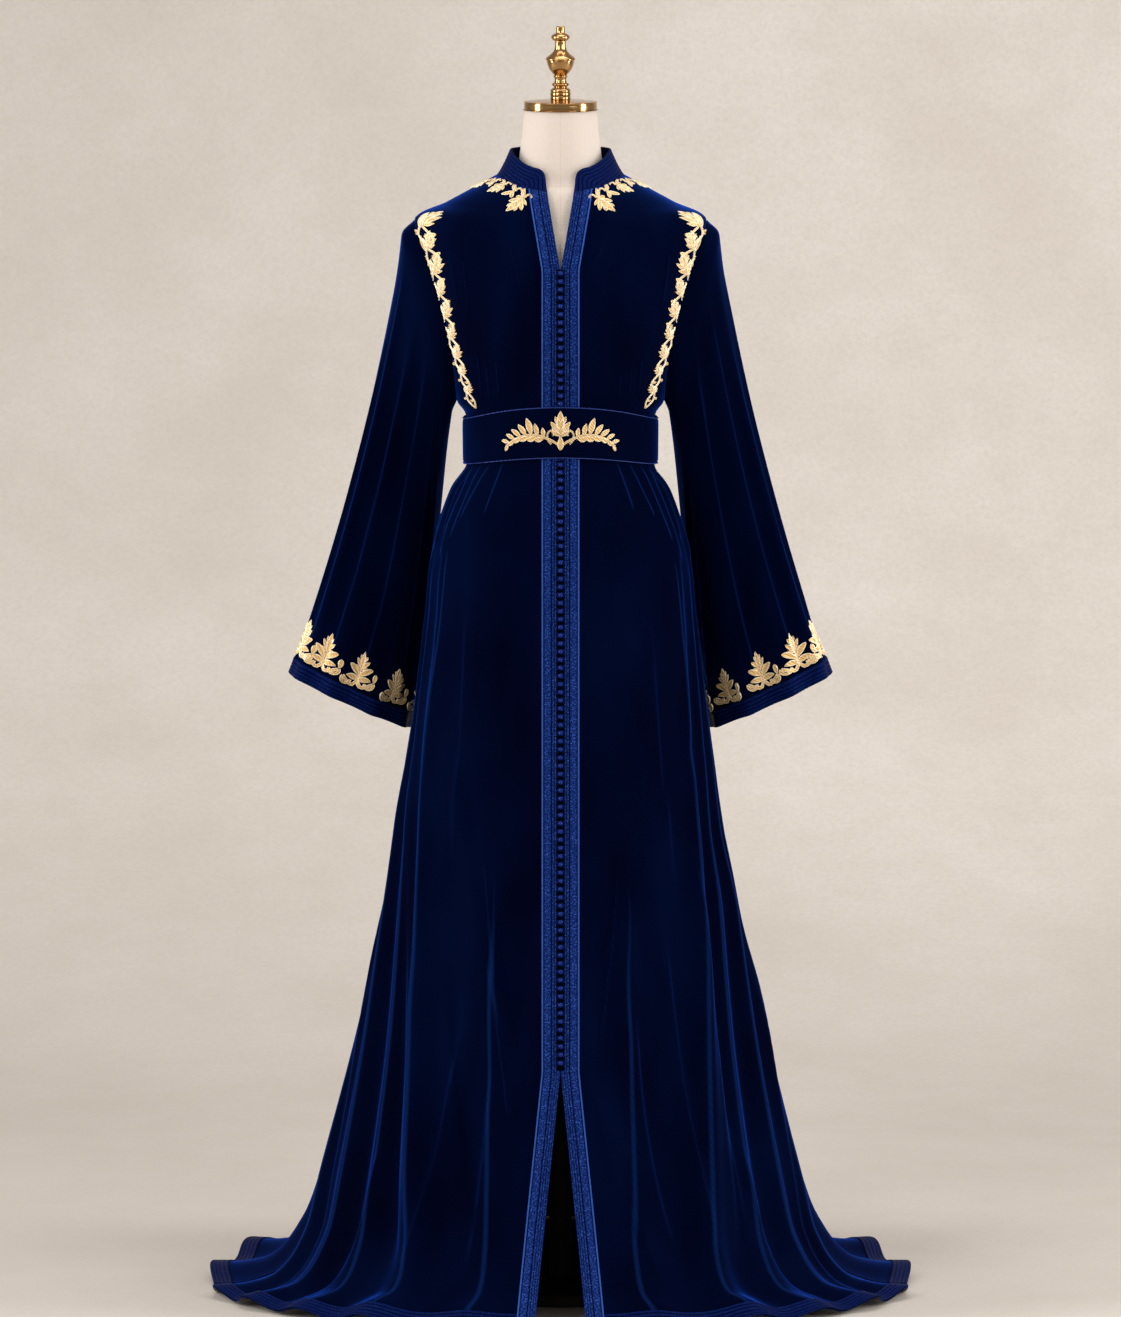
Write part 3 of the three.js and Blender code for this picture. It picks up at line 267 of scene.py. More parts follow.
# The collar's top edge: half width, depth to the front and back, and heights; then the radius of its
# corners, how much wider its opening is at the top, and its thickness. The belt: heights of its edges at
# the back and their rise to the front, its clearance, thickness and the radius of its piping.
COLLAR = {"side": 65, "front": 58, "back": 60, "front_top": 1471, "side_top": 1493}
COLLAR |= {"corner": 14, "flare": 1.5, "thick": 2.2}
BELT = {"bottom": 1084, "top": 1144, "bottom_rise": 15, "top_rise": 22}
BELT |= {"clear": 2.9, "thick": 2.4, "piping": 0.6}
HEM_THICK, CUFF_THICK = 1.2, 1.4
BAND_STEPS = 26  # grid rows across a band of braid at the hem or the cuff
TURN_SOFTNESS = 2.5  # how softly the collar's rows of braid turn at its front corners
COLLAR_BRAID = 24  # the width that all rows of the collar's braid share
# The fine creases start this far from the front opening and take this far to grow to their full height,
# and in rows of the sections, the same below the neck and shoulder seams.
BRAID_CLEAR, BRAID_FADE = 22, 26
SEAM_CLEAR, SEAM_FADE = 2.6, 1.2
CREASE_FADE, SLEEVE_FADE = 0.2, 0.25  # the share of a crease's length in which it fades in or out
BUTTON_RUNS = [("buttons_upper", 1344, 1169), ("buttons_lower", 1096, 323)]
# A button: rings and points of its ball, its flatness, how far strands stand out, and the clearance of its
# foot. Its loops: steps and sides of the cord, their path's place and size, and the cord's radius.
BALL = {"rings": 7, "around": 12, "flat": 0.9, "lumps": 0.07, "foot": 1.2}
LOOP = {"steps": 9, "sides": 5, "inner": 1.3, "bow": 3.3, "half_height": 2.9, "rise": 0.9, "thick": 0.75}
# The strip behind the buttons: distance from the centre front, and height of its face above the braid.
STRIP = np.array([(-5.2, 0.25), (-4.4, 0.7), (-3, 0.9), (3, 0.9), (4.4, 0.7), (5.2, 0.25)])
STRIP_SUNK = 0.2
ACROSS, UP = np.array([1.0, 0.0, 0.0]), np.array([0.0, 0.0, 1.0])

# The front braid from its inner to its outer edge: share of its width and share of its height. An edge
# cord, three narrow rows, a wide woven field and another edge cord.
FRONT_BRAID = np.array([
    (0, 0.2),
    (0.03, 0.9),
    (0.07, 0.1),
    (0.13, 0.95),
    (0.19, 0.1),
    (0.26, 1),
    (0.32, 0.1),
    (0.39, 1),
    (0.45, 0.15),
    (0.5, 0.7),
    (0.68, 0.8),
    (0.86, 0.7),
    (0.91, 0.1),
    (0.96, 1),
    (1, 0.2),
])

# The run of the armhole vine beside the seam: x, height, width of the vine.
VINE = np.array([
    (176, 1397, 37),
    (164, 1350, 35),
    (152, 1308, 33),
    (142, 1266, 29),
    (131, 1228, 23),
    (121, 1196, 18),
    (112, 1160, 13),
])
VINE_KNOTS = 10

# Half outline of the neck cap and of the finial: radius and height above the cap's underside or the
# finial's foot. A row given twice is a sharp corner.
NECK_CAP = [
    (0, 0), (0, 0), (46.2, 0), (46.2, 0), (47, 0.8), (47, 9.6), (46.2, 10.6), (30, 12.2), (12, 12.8),
    (0, 12.8),
]
FINIAL = [
    (12.8, 0), (12.8, 0), (13.3, 2.2), (12.6, 4.4), (12.6, 4.4), (13.4, 7), (12.6, 9.6), (12.6, 9.6),
    (13, 12), (11, 14.2), (11, 14.2), (8.6, 15.4), (8.4, 16.6), (11, 18.6), (11.2, 20), (8.4, 22), (8.4, 22),
    (7.4, 25), (8.2, 28.4), (8.2, 28.4), (9.2, 29.8), (8, 31.4), (8, 31.4), (11.4, 35), (14.6, 39.5),
    (16.6, 44.5), (17.6, 49), (17.8, 50.5), (17.8, 50.5), (19.4, 51.6), (19, 53.2), (16.4, 55.8), (12.2, 59),
    (9, 62.4), (7.4, 66.5), (6.9, 71), (7, 75.4), (7, 75.4), (9.4, 76.4), (11.8, 79.2), (11.6, 82),
    (9, 84.4), (6.4, 85.6), (6.4, 85.6), (5.6, 87), (5.5, 93.6), (5.5, 93.6), (4.8, 94.8), (0, 95),
]

# The stage and the camera, in metres: the floor's front edge, where it starts to curve, the curve's
# radius, the backdrop's top and the half width; then the camera's distance and height, the height it
# looks at, and the height that fills the frame at the given reach.
STAGE = {"front": -14.0, "back": 1.4, "radius": 3.0, "top": 7.0, "half": 7.0}
CAMERA = {"away": 14.0, "height": 2.445, "target": 0.829, "framed": 1.712, "reach": 14.09}
SENSOR = 36
# the floor inside the train is painted in deep shade
TRAIN_MIDDLE, TRAIN_INSIDE = (0, 0.285, 0), (0.29, 0.31)  # metres: the floor that only the slit shows
# Soft boxes: name, place, what they look at, width and height in metres, and power in watts.
LIGHTS = [
    ("key_light", (-3.2, -4.2, 3.4), (0, 0, 0.9), (2.2, 2.6), 135),
    ("fill_light", (3.4, -4.0, 2.8), (0, 0, 0.9), (2.2, 2.6), 100),
    ("left_edge_light", (-3.4, -0.7, 1.7), (0, 0, 0.8), (0.9, 2.8), 92),
    ("right_edge_light", (3.4, -0.7, 1.7), (0, 0, 0.8), (0.9, 2.8), 92),
    ("top_light", (0, -0.6, 4.6), (0, 0, 0), (2.6, 2.6), 50),
    ("backdrop_light", (1.2, 0.6, 5.2), (0.8, 4.4, 2.6), (3.0, 1.2), 42),
]
SKYLIGHT = 0.45

# Second tones, which the materials mix with the colours a user may change.
TONES = {
    "lining_warm": "#423228",
    "braid_groove_shade": "#010417",
    "cord_dark": "#061350",
    "cord_shade": "#01030f",
    "cord_glint": "#7f9be8",
    "piping_dark": "#0f1c52",
    "piping": "#2c3d80",
    "gold_dark": "#bf9352",
    "linen_dark": "#c2b6ab",
    "linen_thread": "#cbbca8",
    "linen_seam": "#b3a38f",
    "brass_tarnish": "#a88455",
    "metal_worn": "#332e29",
    "plaster_cloud": "#cac2b9",
    "plaster_mark": "#b3aaa0",
    "plaster_shade": "#a59d95",
    "deep_shade": "#0d0a08",
    "skylight": "#efe9e0",
}


# ------------------------------------------------------------------ sizes and colours a user may change


def linear(hex_colour):
    """An sRGB hex colour as linear parts: a part c above 0.04045 becomes ((c + 0.055) / 1.055) ^ 2.4."""
    parts = [int(hex_colour[k : k + 2], 16) / 255 for k in (1, 3, 5)]
    return tuple(c / 12.92 if c <= 0.04045 else ((c + 0.055) / 1.055) ** 2.4 for c in parts)


def tone(name):
    """A second tone as linear parts."""
    return linear(TONES[name])


def length_property(name, description, millimetres):
    return bpy.props.FloatProperty(
        name=name, description=description, default=millimetres * MM, unit="LENGTH", precision=5
    )


def colour_property(name, description, hex_colour):
    return bpy.props.FloatVectorProperty(
        name=name, description=description, subtype="COLOR", size=3, min=0, max=1, default=linear(hex_colour)
    )


class KaftanSizes(bpy.types.PropertyGroup):
    wall: length_property("Velvet thickness", "Thickness of the velvet with its lining", 2)
    seam_gap: length_property("Seam gap", "Gap between pieces that lie on each other or meet at a seam", 0.3)
    braid_width: length_property("Braid width", "Width of the braid beside the front edges", 24)
    braid_thick: length_property("Braid thickness", "Thickness of the front braid at its ribs", 1.6)
    braid_ribs: bpy.props.IntProperty(
        name="Braid rows", description="Rows of braid side by side in a band", default=5, min=1
    )
    crease_depth: bpy.props.FloatProperty(
        name="Crease depth", description="Depth of the fine creases", default=1, min=0, subtype="FACTOR"
    )
    button_radius: length_property("Button radius", "Radius of a knotted ball button", 3.2)
    button_pitch: length_property("Button pitch", "Distance from button to button", 10.4)
    applique_clear: length_property("Applique clearance", "Height of its underside above the cloth", 0.4)
    applique_relief: length_property("Applique relief", "Height of the gold thread above its underside", 1.9)


class KaftanColours(bpy.types.PropertyGroup):
    velvet: colour_property("Velvet", "Pile seen face on", "#010211")
    velvet_patch: colour_property("Velvet, brushed", "Pile where it is brushed the other way", "#010720")
    velvet_sheen: colour_property("Velvet sheen", "Light on the edge of the pile", "#235ce6")
    # crease: painted sheen highlight, mixed into the velvet along the edges of folds and creases
    crease: colour_property("Crease highlight", "Painted sheen along a fold's edge", "#1d469c")
    lining: colour_property("Lining", "Inside of the cloth", "#33261e")
    braid: colour_property("Braid", "Woven braid", "#09194f")
    braid_dark: colour_property("Dark braid", "Braid of collar, cuffs and hem", "#050f3c")
    braid_light: colour_property("Braid glint", "Threads of the braid that catch the light", "#3a60b8")
    knot: colour_property("Cord", "Knotted cord", "#0c2270")
    gold: colour_property("Gold thread", "Filling stitches of the applique", "#e0b876")
    gold_edge: colour_property("Gold cord", "Cord round each leaf", "#f6e6c6")
    linen: colour_property("Linen", "Cover of the dress form", "#cbbfb7")
    brass: colour_property("Brass", "Neck cap and finial", "#b58e5e")
    metal: colour_property("Stand", "Powder-coated pole and base", "#231f1c")
    plaster: colour_property("Backdrop", "Floor and backdrop", "#d6cec7")


def sizes():
    return bpy.context.scene.kaftan_sizes


def colours():
    return bpy.context.scene.kaftan_colours


# ------------------------------------------------------------------ curves and surfaces, in millimetres


def smooth(x):
    """3 x^2 - 2 x^3 of x held between 0 and 1."""
    x = np.clip(x, 0, 1)
    return x * x * (3 - 2 * x)


def bell(x):
    """e to the power of minus x squared."""
    return np.exp(-(x**2))


def unit(vectors):
    """The same directions at length 1."""
    return vectors / np.linalg.norm(vectors, axis=-1, keepdims=True)


def outwards(points):
    """Level unit vectors from the axis towards points."""
    return unit(points * (1, 1, 0))


def along(table, t):
    """The table's columns at row positions t: between rows b and c, b (2f^3 - 3f^2 + 1) + c (3f^2 - 2f^3),
    and half the step over the neighbours times (f^3 - 2f^2 + f) and (f^3 - f^2) for the slopes."""
    t = np.clip(np.asarray(t, float), 0, len(table) - 1)
    i = np.clip(np.floor(t).astype(int), 0, len(table) - 2)
    f = (t - i)[..., None]
    a, b, c, d = (table[np.clip(i + k, 0, len(table) - 1)] for k in (-1, 0, 1, 2))
    value = b * (2 * f**3 - 3 * f**2 + 1) + c * (3 * f**2 - 2 * f**3)
    value = value + (c - a) / 2 * (f**3 - 2 * f**2 + f) + (d - b) / 2 * (f**3 - f**2)
    return np.moveaxis(value, -1, 0)


FINE_ROWS = np.linspace(0, HEM, 2101)
FINE = along(SECTIONS, FINE_ROWS)
# Lengths down the side of the skirt, from which creases on the floor keep their level below zero.
FINE_STEPS = np.hypot(np.gradient(FINE[0]), np.gradient(FINE[1]))
DOWN = np.cumsum(FINE_STEPS)
STANDING_DOWN = np.interp(STANDING, FINE_ROWS, DOWN)
LEVELS = np.where(FINE_ROWS < STANDING, FINE[0], SECTIONS[STANDING, 0] - (DOWN - STANDING_DOWN))
ROWS_BY_LENGTH = DOWN - DOWN[0]


def row_at(z, lift_share=0.0):
    """The row position where the trunk comes down to height z; lift_share is 1 at the centre front."""
    heights = FINE[0] + FINE[5] * lift_share
    return np.interp(-np.asarray(z, float), -heights, FINE_ROWS)


def even_rows(start, end, count):
    """Row positions at even lengths down the cloth."""
    ends = np.interp([start, end], FINE_ROWS, ROWS_BY_LENGTH)
    return np.interp(np.linspace(*ends, count), ROWS_BY_LENGTH, FINE_ROWS)


def ridge(distance, width, steep):
    """A ridge across a crease: a bell, wider on its gentle side and narrow on the side it falls away on."""
    side = distance * steep
    narrow = np.where((side > 0) & (steep != 0), 0.3, 1.3 if steep else 1.0)
    return bell(distance / (width * narrow))


def crease_highlight(distance, width, steep, radius):
    """The painted highlight on the thin edge of a crease, which stands in for the pile's sheen where the fold
    turns away: a bell 0.12 widths down its steep side, 0.9 mm and a 220th of the radius wide. Sharp creases
    get a paler painted highlight, folds wider than 20 mm less."""
    light = (0.12 + 0.3 * smooth((20 - width) / 14)) * (1.0 if steep else 0.4)
    return light * bell((distance * (steep or 1) - 0.12 * width) / (0.9 + radius / 220))


def fold_angle(hip, hem, z):
    return hem + (hip - hem) * np.clip(z / HIP, 0, 1)


def folds(phi, z, radius):
    """Push of the long folds: depth x (1 - z / top)^0.9 x a bell of the angle from the crest, tighter higher
    up. Also a thin painted highlight along each crest, a bell 1.2 mm wide and a 140th of the radius more."""
    angle = np.abs(np.degrees(np.arctan2(np.sin(phi), np.cos(phi))))
    tighter = 1 - FOLD_TIGHTENING * np.clip(z / HIP, 0, 1)
    push, line = np.zeros_like(angle), np.zeros_like(angle)
    for hip, hem, depth, spread, top in FOLDS:
        grown = np.clip((top - z) / top, 0, 1) ** 0.9
        away = angle - fold_angle(hip, hem, z)
        push = push + depth * grown * bell(away / (spread * tighter))
        lit = bell(np.radians(away) * radius / (1.2 + radius / 140))
        line = line + 0.4 * np.minimum(1, 2.5 * grown) * lit
    return push, line


def creases(phi, x, level, radius):
    """Height of the fine creases, and the painted highlight on their edges. The place of a crease's crest is a
    curve of its share s from top to bottom, and it fades in over its first fifth and out over its last."""
    push, line = np.zeros_like(x), np.zeros_like(x)
    front = np.cos(phi) > -0.05
    for x0, z0, x1, z1, x2, z2, height, width, steep in FRONT_CREASES:
        s = (z0 - level) / (z0 - z2)
        m = (z0 - z1) / (z0 - z2)
        crest = x0 * (1 - s) * (1 - s / m) + x1 * s * (1 - s) / (m * (1 - m)) + x2 * s * (s - m) / (1 - m)
        held = smooth(s / CREASE_FADE) * smooth((1 - s) / CREASE_FADE) * front
        push += height * held * ridge(x - crest, width, steep)
        # a slanting painted highlight would show the grid's rows as steps
        upright = smooth(1.6 - 4 * abs(x2 - x0) / (z0 - z2)) if width > 12 else 1.0
        # above the belt the cloth hangs free, so the painted highlight along its creases is fainter
        soft = 0.45 if z2 > BELT["bottom"] else 1.0
        line += soft * upright * held * crease_highlight(x - crest, width, steep, radius)
    for a0, z0, a1, z1, bow, height, width, steep in ROUND_CREASES:
        s = (z0 - level) / (z0 - z1)
        crest = np.radians(a0 + (a1 - a0) * s + 4 * bow * s * (1 - s))
        away = np.mod(phi - crest + np.pi, 2 * np.pi) - np.pi
        held = smooth(s / CREASE_FADE) * smooth((1.05 - s) / CREASE_FADE)
        push += height * held * ridge(away * radius, width, steep)
        line += held * crease_highlight(away * radius, width, steep, radius)
    return push, line


def trunk_and_highlight(phi, t):
    """The outer face of the fronts and back at angle phi from the centre front and row position t, and its
    painted highlight along folds and creases. x = side sin(phi), y = -depth cos(phi), both times
    1 + square sin^2(2 phi), then moved out from the axis by the folds and creases, which also raise the cloth
    where it lies on the floor."""
    phi, t = np.broadcast_arrays(np.asarray(phi, float), np.asarray(t, float))
    z, side, front, back, square, lift, lie = along(SECTIONS, t)
    sin, cos = np.sin(phi), np.cos(phi)
    boxy = 1 + square * np.sin(2 * phi) ** 2
    depth = np.where(cos > 0, front, back)
    x, y = side * sin * boxy, -depth * cos * boxy
    radius = np.hypot(side * cos, depth * sin)
    push, line = folds(phi, z, radius)
    fine, fine_highlight = creases(phi, x, np.interp(t, FINE_ROWS, LEVELS), radius)
    open_half = opening(z + lift)
    # the fine creases stop beside the front braid and at the neck and shoulder seams
    free = smooth((np.abs(x) - open_half - BRAID_CLEAR) / BRAID_FADE) if np.ndim(x) else 1.0
    free = np.where(cos > 0, free, 1.0) * smooth((t - SEAM_CLEAR) / SEAM_FADE)
    fine = fine * free * sizes().crease_depth
    out = np.maximum(np.hypot(x, y), 1e-6)
    push = push + fine
    moved = push * (1 - 0.5 * lie) / out
    up = z + lift * np.maximum(0, cos) ** 2 + push * 0.6 * lie
    points = np.stack([x * (1 + moved), y * (1 + moved), np.maximum(up, 2)], -1)
    return points, np.clip(line + fine_highlight * free, 0, 1)


def trunk(phi, t):
    return trunk_and_highlight(phi, t)[0]


def trunk_by_length(phi, down):
    """The trunk by angle and by length down the cloth in millimetres."""
    return trunk(phi, np.interp(down, ROWS_BY_LENGTH, FINE_ROWS))


def armhole_x(z):
    """Half width at the armhole seam: straight from shoulder to underarm, less a bow of one half wave."""
    top, foot = SECTIONS[SHOULDER], SECTIONS[UNDERARM]
    share = np.clip((top[0] - z) / (top[0] - foot[0]), 0, 1)
    return top[1] + (foot[1] - top[1]) * share - ARMHOLE_HOLLOW * np.sin(np.pi * share)


def opening(z):
    """Half the front opening at height z: the neckline's wedge, closed, then the slit's wedge."""
    gap = sizes().seam_gap / MM / 2
    half, top, foot = NECK_OPENING
    return np.maximum(gap, np.maximum(half * (z - foot) / (top - foot), SLIT[0] * (1 - z / SLIT[1])))


def angle_at(x, t):
    """The angle at which a section is x wide: arcsin(x / side)."""
    return np.arcsin(np.clip(x / along(SECTIONS, t)[1], 0, 1))


def panel_end(t, back=False):
    """The angle of the side or shoulder seam, or of the armhole, whichever comes first."""
    z, side, front, rear, *_ = along(SECTIONS, t)
    seam = np.pi / 2 - np.arcsin(sizes().seam_gap / MM / 2 / (rear if back else front))
    armhole = np.arcsin(np.clip(armhole_x(z) / side, 0, 1))
    return np.where((t >= SHOULDER) & (t <= UNDERARM), np.minimum(seam, armhole), seam)


def edge_angle(t, away=0.0):
    """The angle of the front edge, or of a line the given distance beyond it."""
    s = along(SECTIONS, t)
    return angle_at(opening(s[0] + s[5]) + away, t)


def sided(grid, sign):
    """Angles for the left side, or for the right one mirrored, columns from lower to higher angle."""
    return grid if sign > 0 else -grid[:, ::-1]


def panel(start, end, sign, columns, t):
    """The trunk and its painted crease highlight between two lines of angles."""
    phi = sided(start + (end - start) * np.linspace(0, 1, columns)[None, :], sign)
    return trunk_and_highlight(phi, np.broadcast_to(t, phi.shape))


def front_grid(sign, columns, rows):
    """Points of a front from its edge to the side seam."""
    t = rows[:, None]
    return panel(edge_angle(t), panel_end(t), sign, columns, t)


def back_grid(sign, columns, rows):
    """Points of half the back, from its side seam to the centre back seam."""
    t = rows[:, None]
    end = np.pi - np.arcsin(sizes().seam_gap / MM / 2 / along(SECTIONS, t)[1])
    return panel(np.pi - panel_end(t, back=True), end, sign, columns, t)


ARMHOLE_STEPS = np.array([3, 10 / 3, 11 / 3, 4, 13 / 3, 14 / 3, 5, 5.5, 6, 6.5, 7])[::-1]


def armhole(turn):
    """The armhole seam as a ring: from the underarm up the front and, past the half turn, down the back."""
    turn = np.mod(turn, 1)
    climbed = np.where(turn <= 0.5, turn, 1 - turn) * 20
    t = np.interp(climbed, np.arange(11), ARMHOLE_STEPS)
    front = trunk(panel_end(t), t)
    rear = trunk(np.pi - panel_end(t, back=True), t)
    return np.where((turn <= 0.5)[..., None], front, rear)


def sleeve_section(turn, t):
    """Below the armhole: from outer fold to inner fold by (1 + cos) / 2, out by sin times the belly, and out
    by the folds' bells, which grow with (t / last)^0.8."""
    ox, oy, oz, ix, iy, iz, front, back = along(SLEEVE_SECTIONS, t)
    outer, inner = np.stack([ox, oy, oz], -1), np.stack([ix, iy, iz], -1)
    cos, sin = np.cos(2 * np.pi * turn), np.sin(2 * np.pi * turn)
    points = outer + (inner - outer) * ((1 + cos) / 2)[..., None]
    points[..., 1] -= sin * np.where(sin > 0, front, back)
    out = unit(inner - outer) * cos[..., None]
    out[..., 1] -= sin
    out = unit(out)
    grown = np.clip(t / CUFF_END, 0, 1) ** 0.8
    push = sum(depth * bell((turn - at) / SLEEVE_SPREAD) for at, depth in SLEEVE_FOLDS) * grown
    return points + out * push[..., None], out


def sleeve_and_highlight(turn, t, sign=1):
    """A sleeve at a turn from 0 to 1 and a row position from -1 at the armhole to 6 at its mouth. Between -1
    and 0 a cubic joins the armhole's ring to the first section without a kink."""
    turn, t = np.broadcast_arrays(np.asarray(turn, float), np.asarray(t, float))
    wrapped = np.mod(turn, 1)
    points, out = sleeve_section(wrapped, np.maximum(t, 0))
    start = armhole(wrapped)
    first, _ = sleeve_section(wrapped, np.zeros_like(t))
    second, _ = sleeve_section(wrapped, np.full_like(t, 0.1))
    f = np.clip(t + 1, 0, 1)[..., None]
    slope = (second - first) * 10
    reach = 1.2 * np.linalg.norm(first - start, axis=-1)
    slope = slope * np.minimum(1, reach / np.linalg.norm(slope, axis=-1))[..., None]
    joined = start * (2 * f**3 - 3 * f**2 + 1) + first * (3 * f**2 - 2 * f**3)
    joined = joined + (first - start) * (f**3 - 2 * f**2 + f) + slope * (f**3 - f**2)
    points = np.where((t < 0)[..., None], joined, points)
    push, line = np.zeros_like(turn), np.zeros_like(turn)
    for turn0, t0, turn1, t1, height, width, steep in SLEEVE_CREASES[sign]:
        s = (t - t0) / (t1 - t0)
        away = np.mod(wrapped - (turn0 + (turn1 - turn0) * s) + 0.5, 1) - 0.5
        held = smooth(s / SLEEVE_FADE) * smooth((1.1 - s) / SLEEVE_FADE)
        push += height * held * ridge(away, width, steep)
        # the painted highlight along the edge of each sleeve crease
        line += 0.7 * held * crease_highlight(away * SLEEVE_GIRTH, width * SLEEVE_GIRTH, steep, 150)
    points = points + out * (push * sizes().crease_depth)[..., None]
    if sign < 0:
        points = points * (-1, 1, 1)
    return points, np.clip(line, 0, 1)


def sleeve(turn, t, sign=1):
    return sleeve_and_highlight(turn, t, sign)[0]


SLEEVE_ROWS = np.linspace(0, CUFF_END, 601)
SLEEVE_FINE = along(SLEEVE_SECTIONS, SLEEVE_ROWS)
SLEEVE_DOWN = np.cumsum(np.hypot(
    np.gradient(SLEEVE_FINE[0] + SLEEVE_FINE[3]), np.gradient(SLEEVE_FINE[2] + SLEEVE_FINE[5])
)) / 2


def sleeve_by_length(turn, down, sign=1):
    """A sleeve by turn and by length down it in millimetres."""
    return sleeve(turn, np.interp(down, SLEEVE_DOWN, SLEEVE_ROWS), sign)


def collar_point(phi, up):
    """The stand collar over the neck seam at angle phi, from 0 at the seam to 1 at its top edge. It leans in
    with up^0.8, its top climbs from the front to the sides, and its front corners are quarter circles."""
    phi, up = np.broadcast_arrays(phi, up)
    seam = trunk(phi, np.zeros_like(phi))
    below = trunk(phi, np.full_like(phi, 0.3))
    seam = seam + unit(seam - below) * sizes().seam_gap / MM
    side, front = SECTIONS[0, 1], SECTIONS[0, 2]
    from_front = np.arctan2(np.abs(seam[..., 0]) / side, -seam[..., 1] / front)
    seam_start = math.asin(NECK_OPENING[0] / side)
    top_start = math.asin((NECK_OPENING[0] + COLLAR["flare"]) / COLLAR["side"])
    turn = top_start + (np.pi - top_start) * (from_front - seam_start) / (np.pi - seam_start)
    depth = np.where(np.cos(turn) > 0, COLLAR["front"], COLLAR["back"])
    from_edge = COLLAR["side"] * (turn - top_start)
    corner = COLLAR["corner"]
    rounded = corner * (1 - np.sqrt(1 - np.clip(1 - from_edge / corner, 0, 1) ** 2))
    climb = (COLLAR["side_top"] - COLLAR["front_top"]) * smooth((turn - 0.4) / 1.2)
    z = COLLAR["front_top"] + climb - rounded
    top = np.stack([np.sign(seam[..., 0]) * COLLAR["side"] * np.sin(turn), -depth * np.cos(turn), z], -1)
    lean = (up**0.8)[..., None]
    points = seam + (top - seam) * lean
    points[..., 2] = seam[..., 2] + (top[..., 2] - seam[..., 2]) * up
    return points, from_edge


def belt_point(phi, up):
    """The belt's inner face: over the trunk by its clearance, from 0 at its lower edge to 1 at its upper
    edge, both edges higher at the front by cos^2."""
    phi, up = np.broadcast_arrays(np.asarray(phi, float), np.asarray(up, float))
    front = np.cos(phi) ** 2
    low = BELT["bottom"] + BELT["bottom_rise"] * front
    high = BELT["top"] + BELT["top_rise"] * front

    def ring(z):
        t = row_at(z)
        _, side, depth, rear, *_ = along(SECTIONS, t)
        x, y = side * np.sin(phi), -np.where(np.cos(phi) > 0, depth, rear) * np.cos(phi)
        grown = 1 + BELT["clear"] / np.hypot(x, y)
        return np.stack([x * grown, y * grown, z], -1)

    return ring(low) + (ring(high) - ring(low)) * up[..., None]


# ------------------------------------------------------------------ meshes from grids


def linked(name, data):
    """A new object of that name in the scene."""
    obj = bpy.data.objects.new(name, data)
    bpy.context.scene.collection.objects.link(obj)
    return obj
def put(name, points, faces, replaces, materials, uv=None, line=None, material_index=None, flat=None):
    """A mesh object from points in millimetres and lists of faces of one size each. uv has a pair for each
    corner of the faces, line a value for each point, and flat names faces that keep hard edges."""
    mesh = bpy.data.meshes.new(name)
    corners = np.concatenate([f.ravel() for f in faces])
    counts = np.concatenate([np.full(len(f), f.shape[1]) for f in faces])
    mesh.vertices.add(len(points))
    mesh.vertices.foreach_set("co", (np.asarray(points, float) * MM).ravel())
    mesh.loops.add(len(corners))
    mesh.loops.foreach_set("vertex_index", corners.astype(np.int32))
    mesh.polygons.add(len(counts))
    mesh.polygons.foreach_set("loop_start", (np.cumsum(counts) - counts).astype(np.int32))
    shaded = np.ones(len(counts), bool)
    if flat is not None:
        shaded[flat] = False
    mesh.polygons.foreach_set("use_smooth", shaded)
    if material_index is not None:
        mesh.polygons.foreach_set("material_index", material_index.astype(np.int32))
    if uv is not None:
        mesh.uv_layers.new(name="cloth").data.foreach_set("uv", np.asarray(uv, float).ravel())
    if line is not None:
        value = np.asarray(line, float).ravel()
        mesh.attributes.new("line", "FLOAT", "POINT").data.foreach_set("value", value)
    mesh.update(calc_edges=True)
    for surface in materials:
        mesh.materials.append(surface)
    obj = linked(name, mesh)
    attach(obj, "root")
    if replaces:
        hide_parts(*replaces)
    return obj


def normals_of(points, ring=False):
    """Outward normals of a grid: the step down its rows crossed with the step along its columns."""
    if ring:
        across = np.roll(points, -1, 1) - np.roll(points, 1, 1)
    else:
        across = np.gradient(points, axis=1)
    return unit(np.cross(np.gradient(points, axis=0), across))


def lengths(points, axis):
    """Running length along a grid, as the mean over its other side."""
    steps = np.linalg.norm(np.diff(points, axis=axis), axis=-1).mean(1 - axis)
    return np.concatenate([[0], np.cumsum(steps)])


def quads(*corners):
    return np.stack(corners, -1).reshape(-1, 4)


def shell_faces(rows, columns, wrap):
    """The quads of a closed wall: outer face, inner face, and its rims at top, bottom and, unless it wraps,
    at the sides."""
    ids = np.arange(rows * columns).reshape(rows, columns)
    if wrap:
        ids = np.column_stack([ids, ids[:, :1]])
    size = rows * columns
    a, b, c, d = ids[:-1, :-1], ids[1:, :-1], ids[1:, 1:], ids[:-1, 1:]
    edges = [ids[0], ids[-1, ::-1]]
    if not wrap:
        edges += [ids[::-1, 0], ids[:, -1]]
    rims = [quads(edge[:-1], edge[1:], edge[1:] + size, edge[:-1] + size) for edge in edges]
    return quads(a, b, c, d), quads(a, d, c, b) + size, np.concatenate(rims)


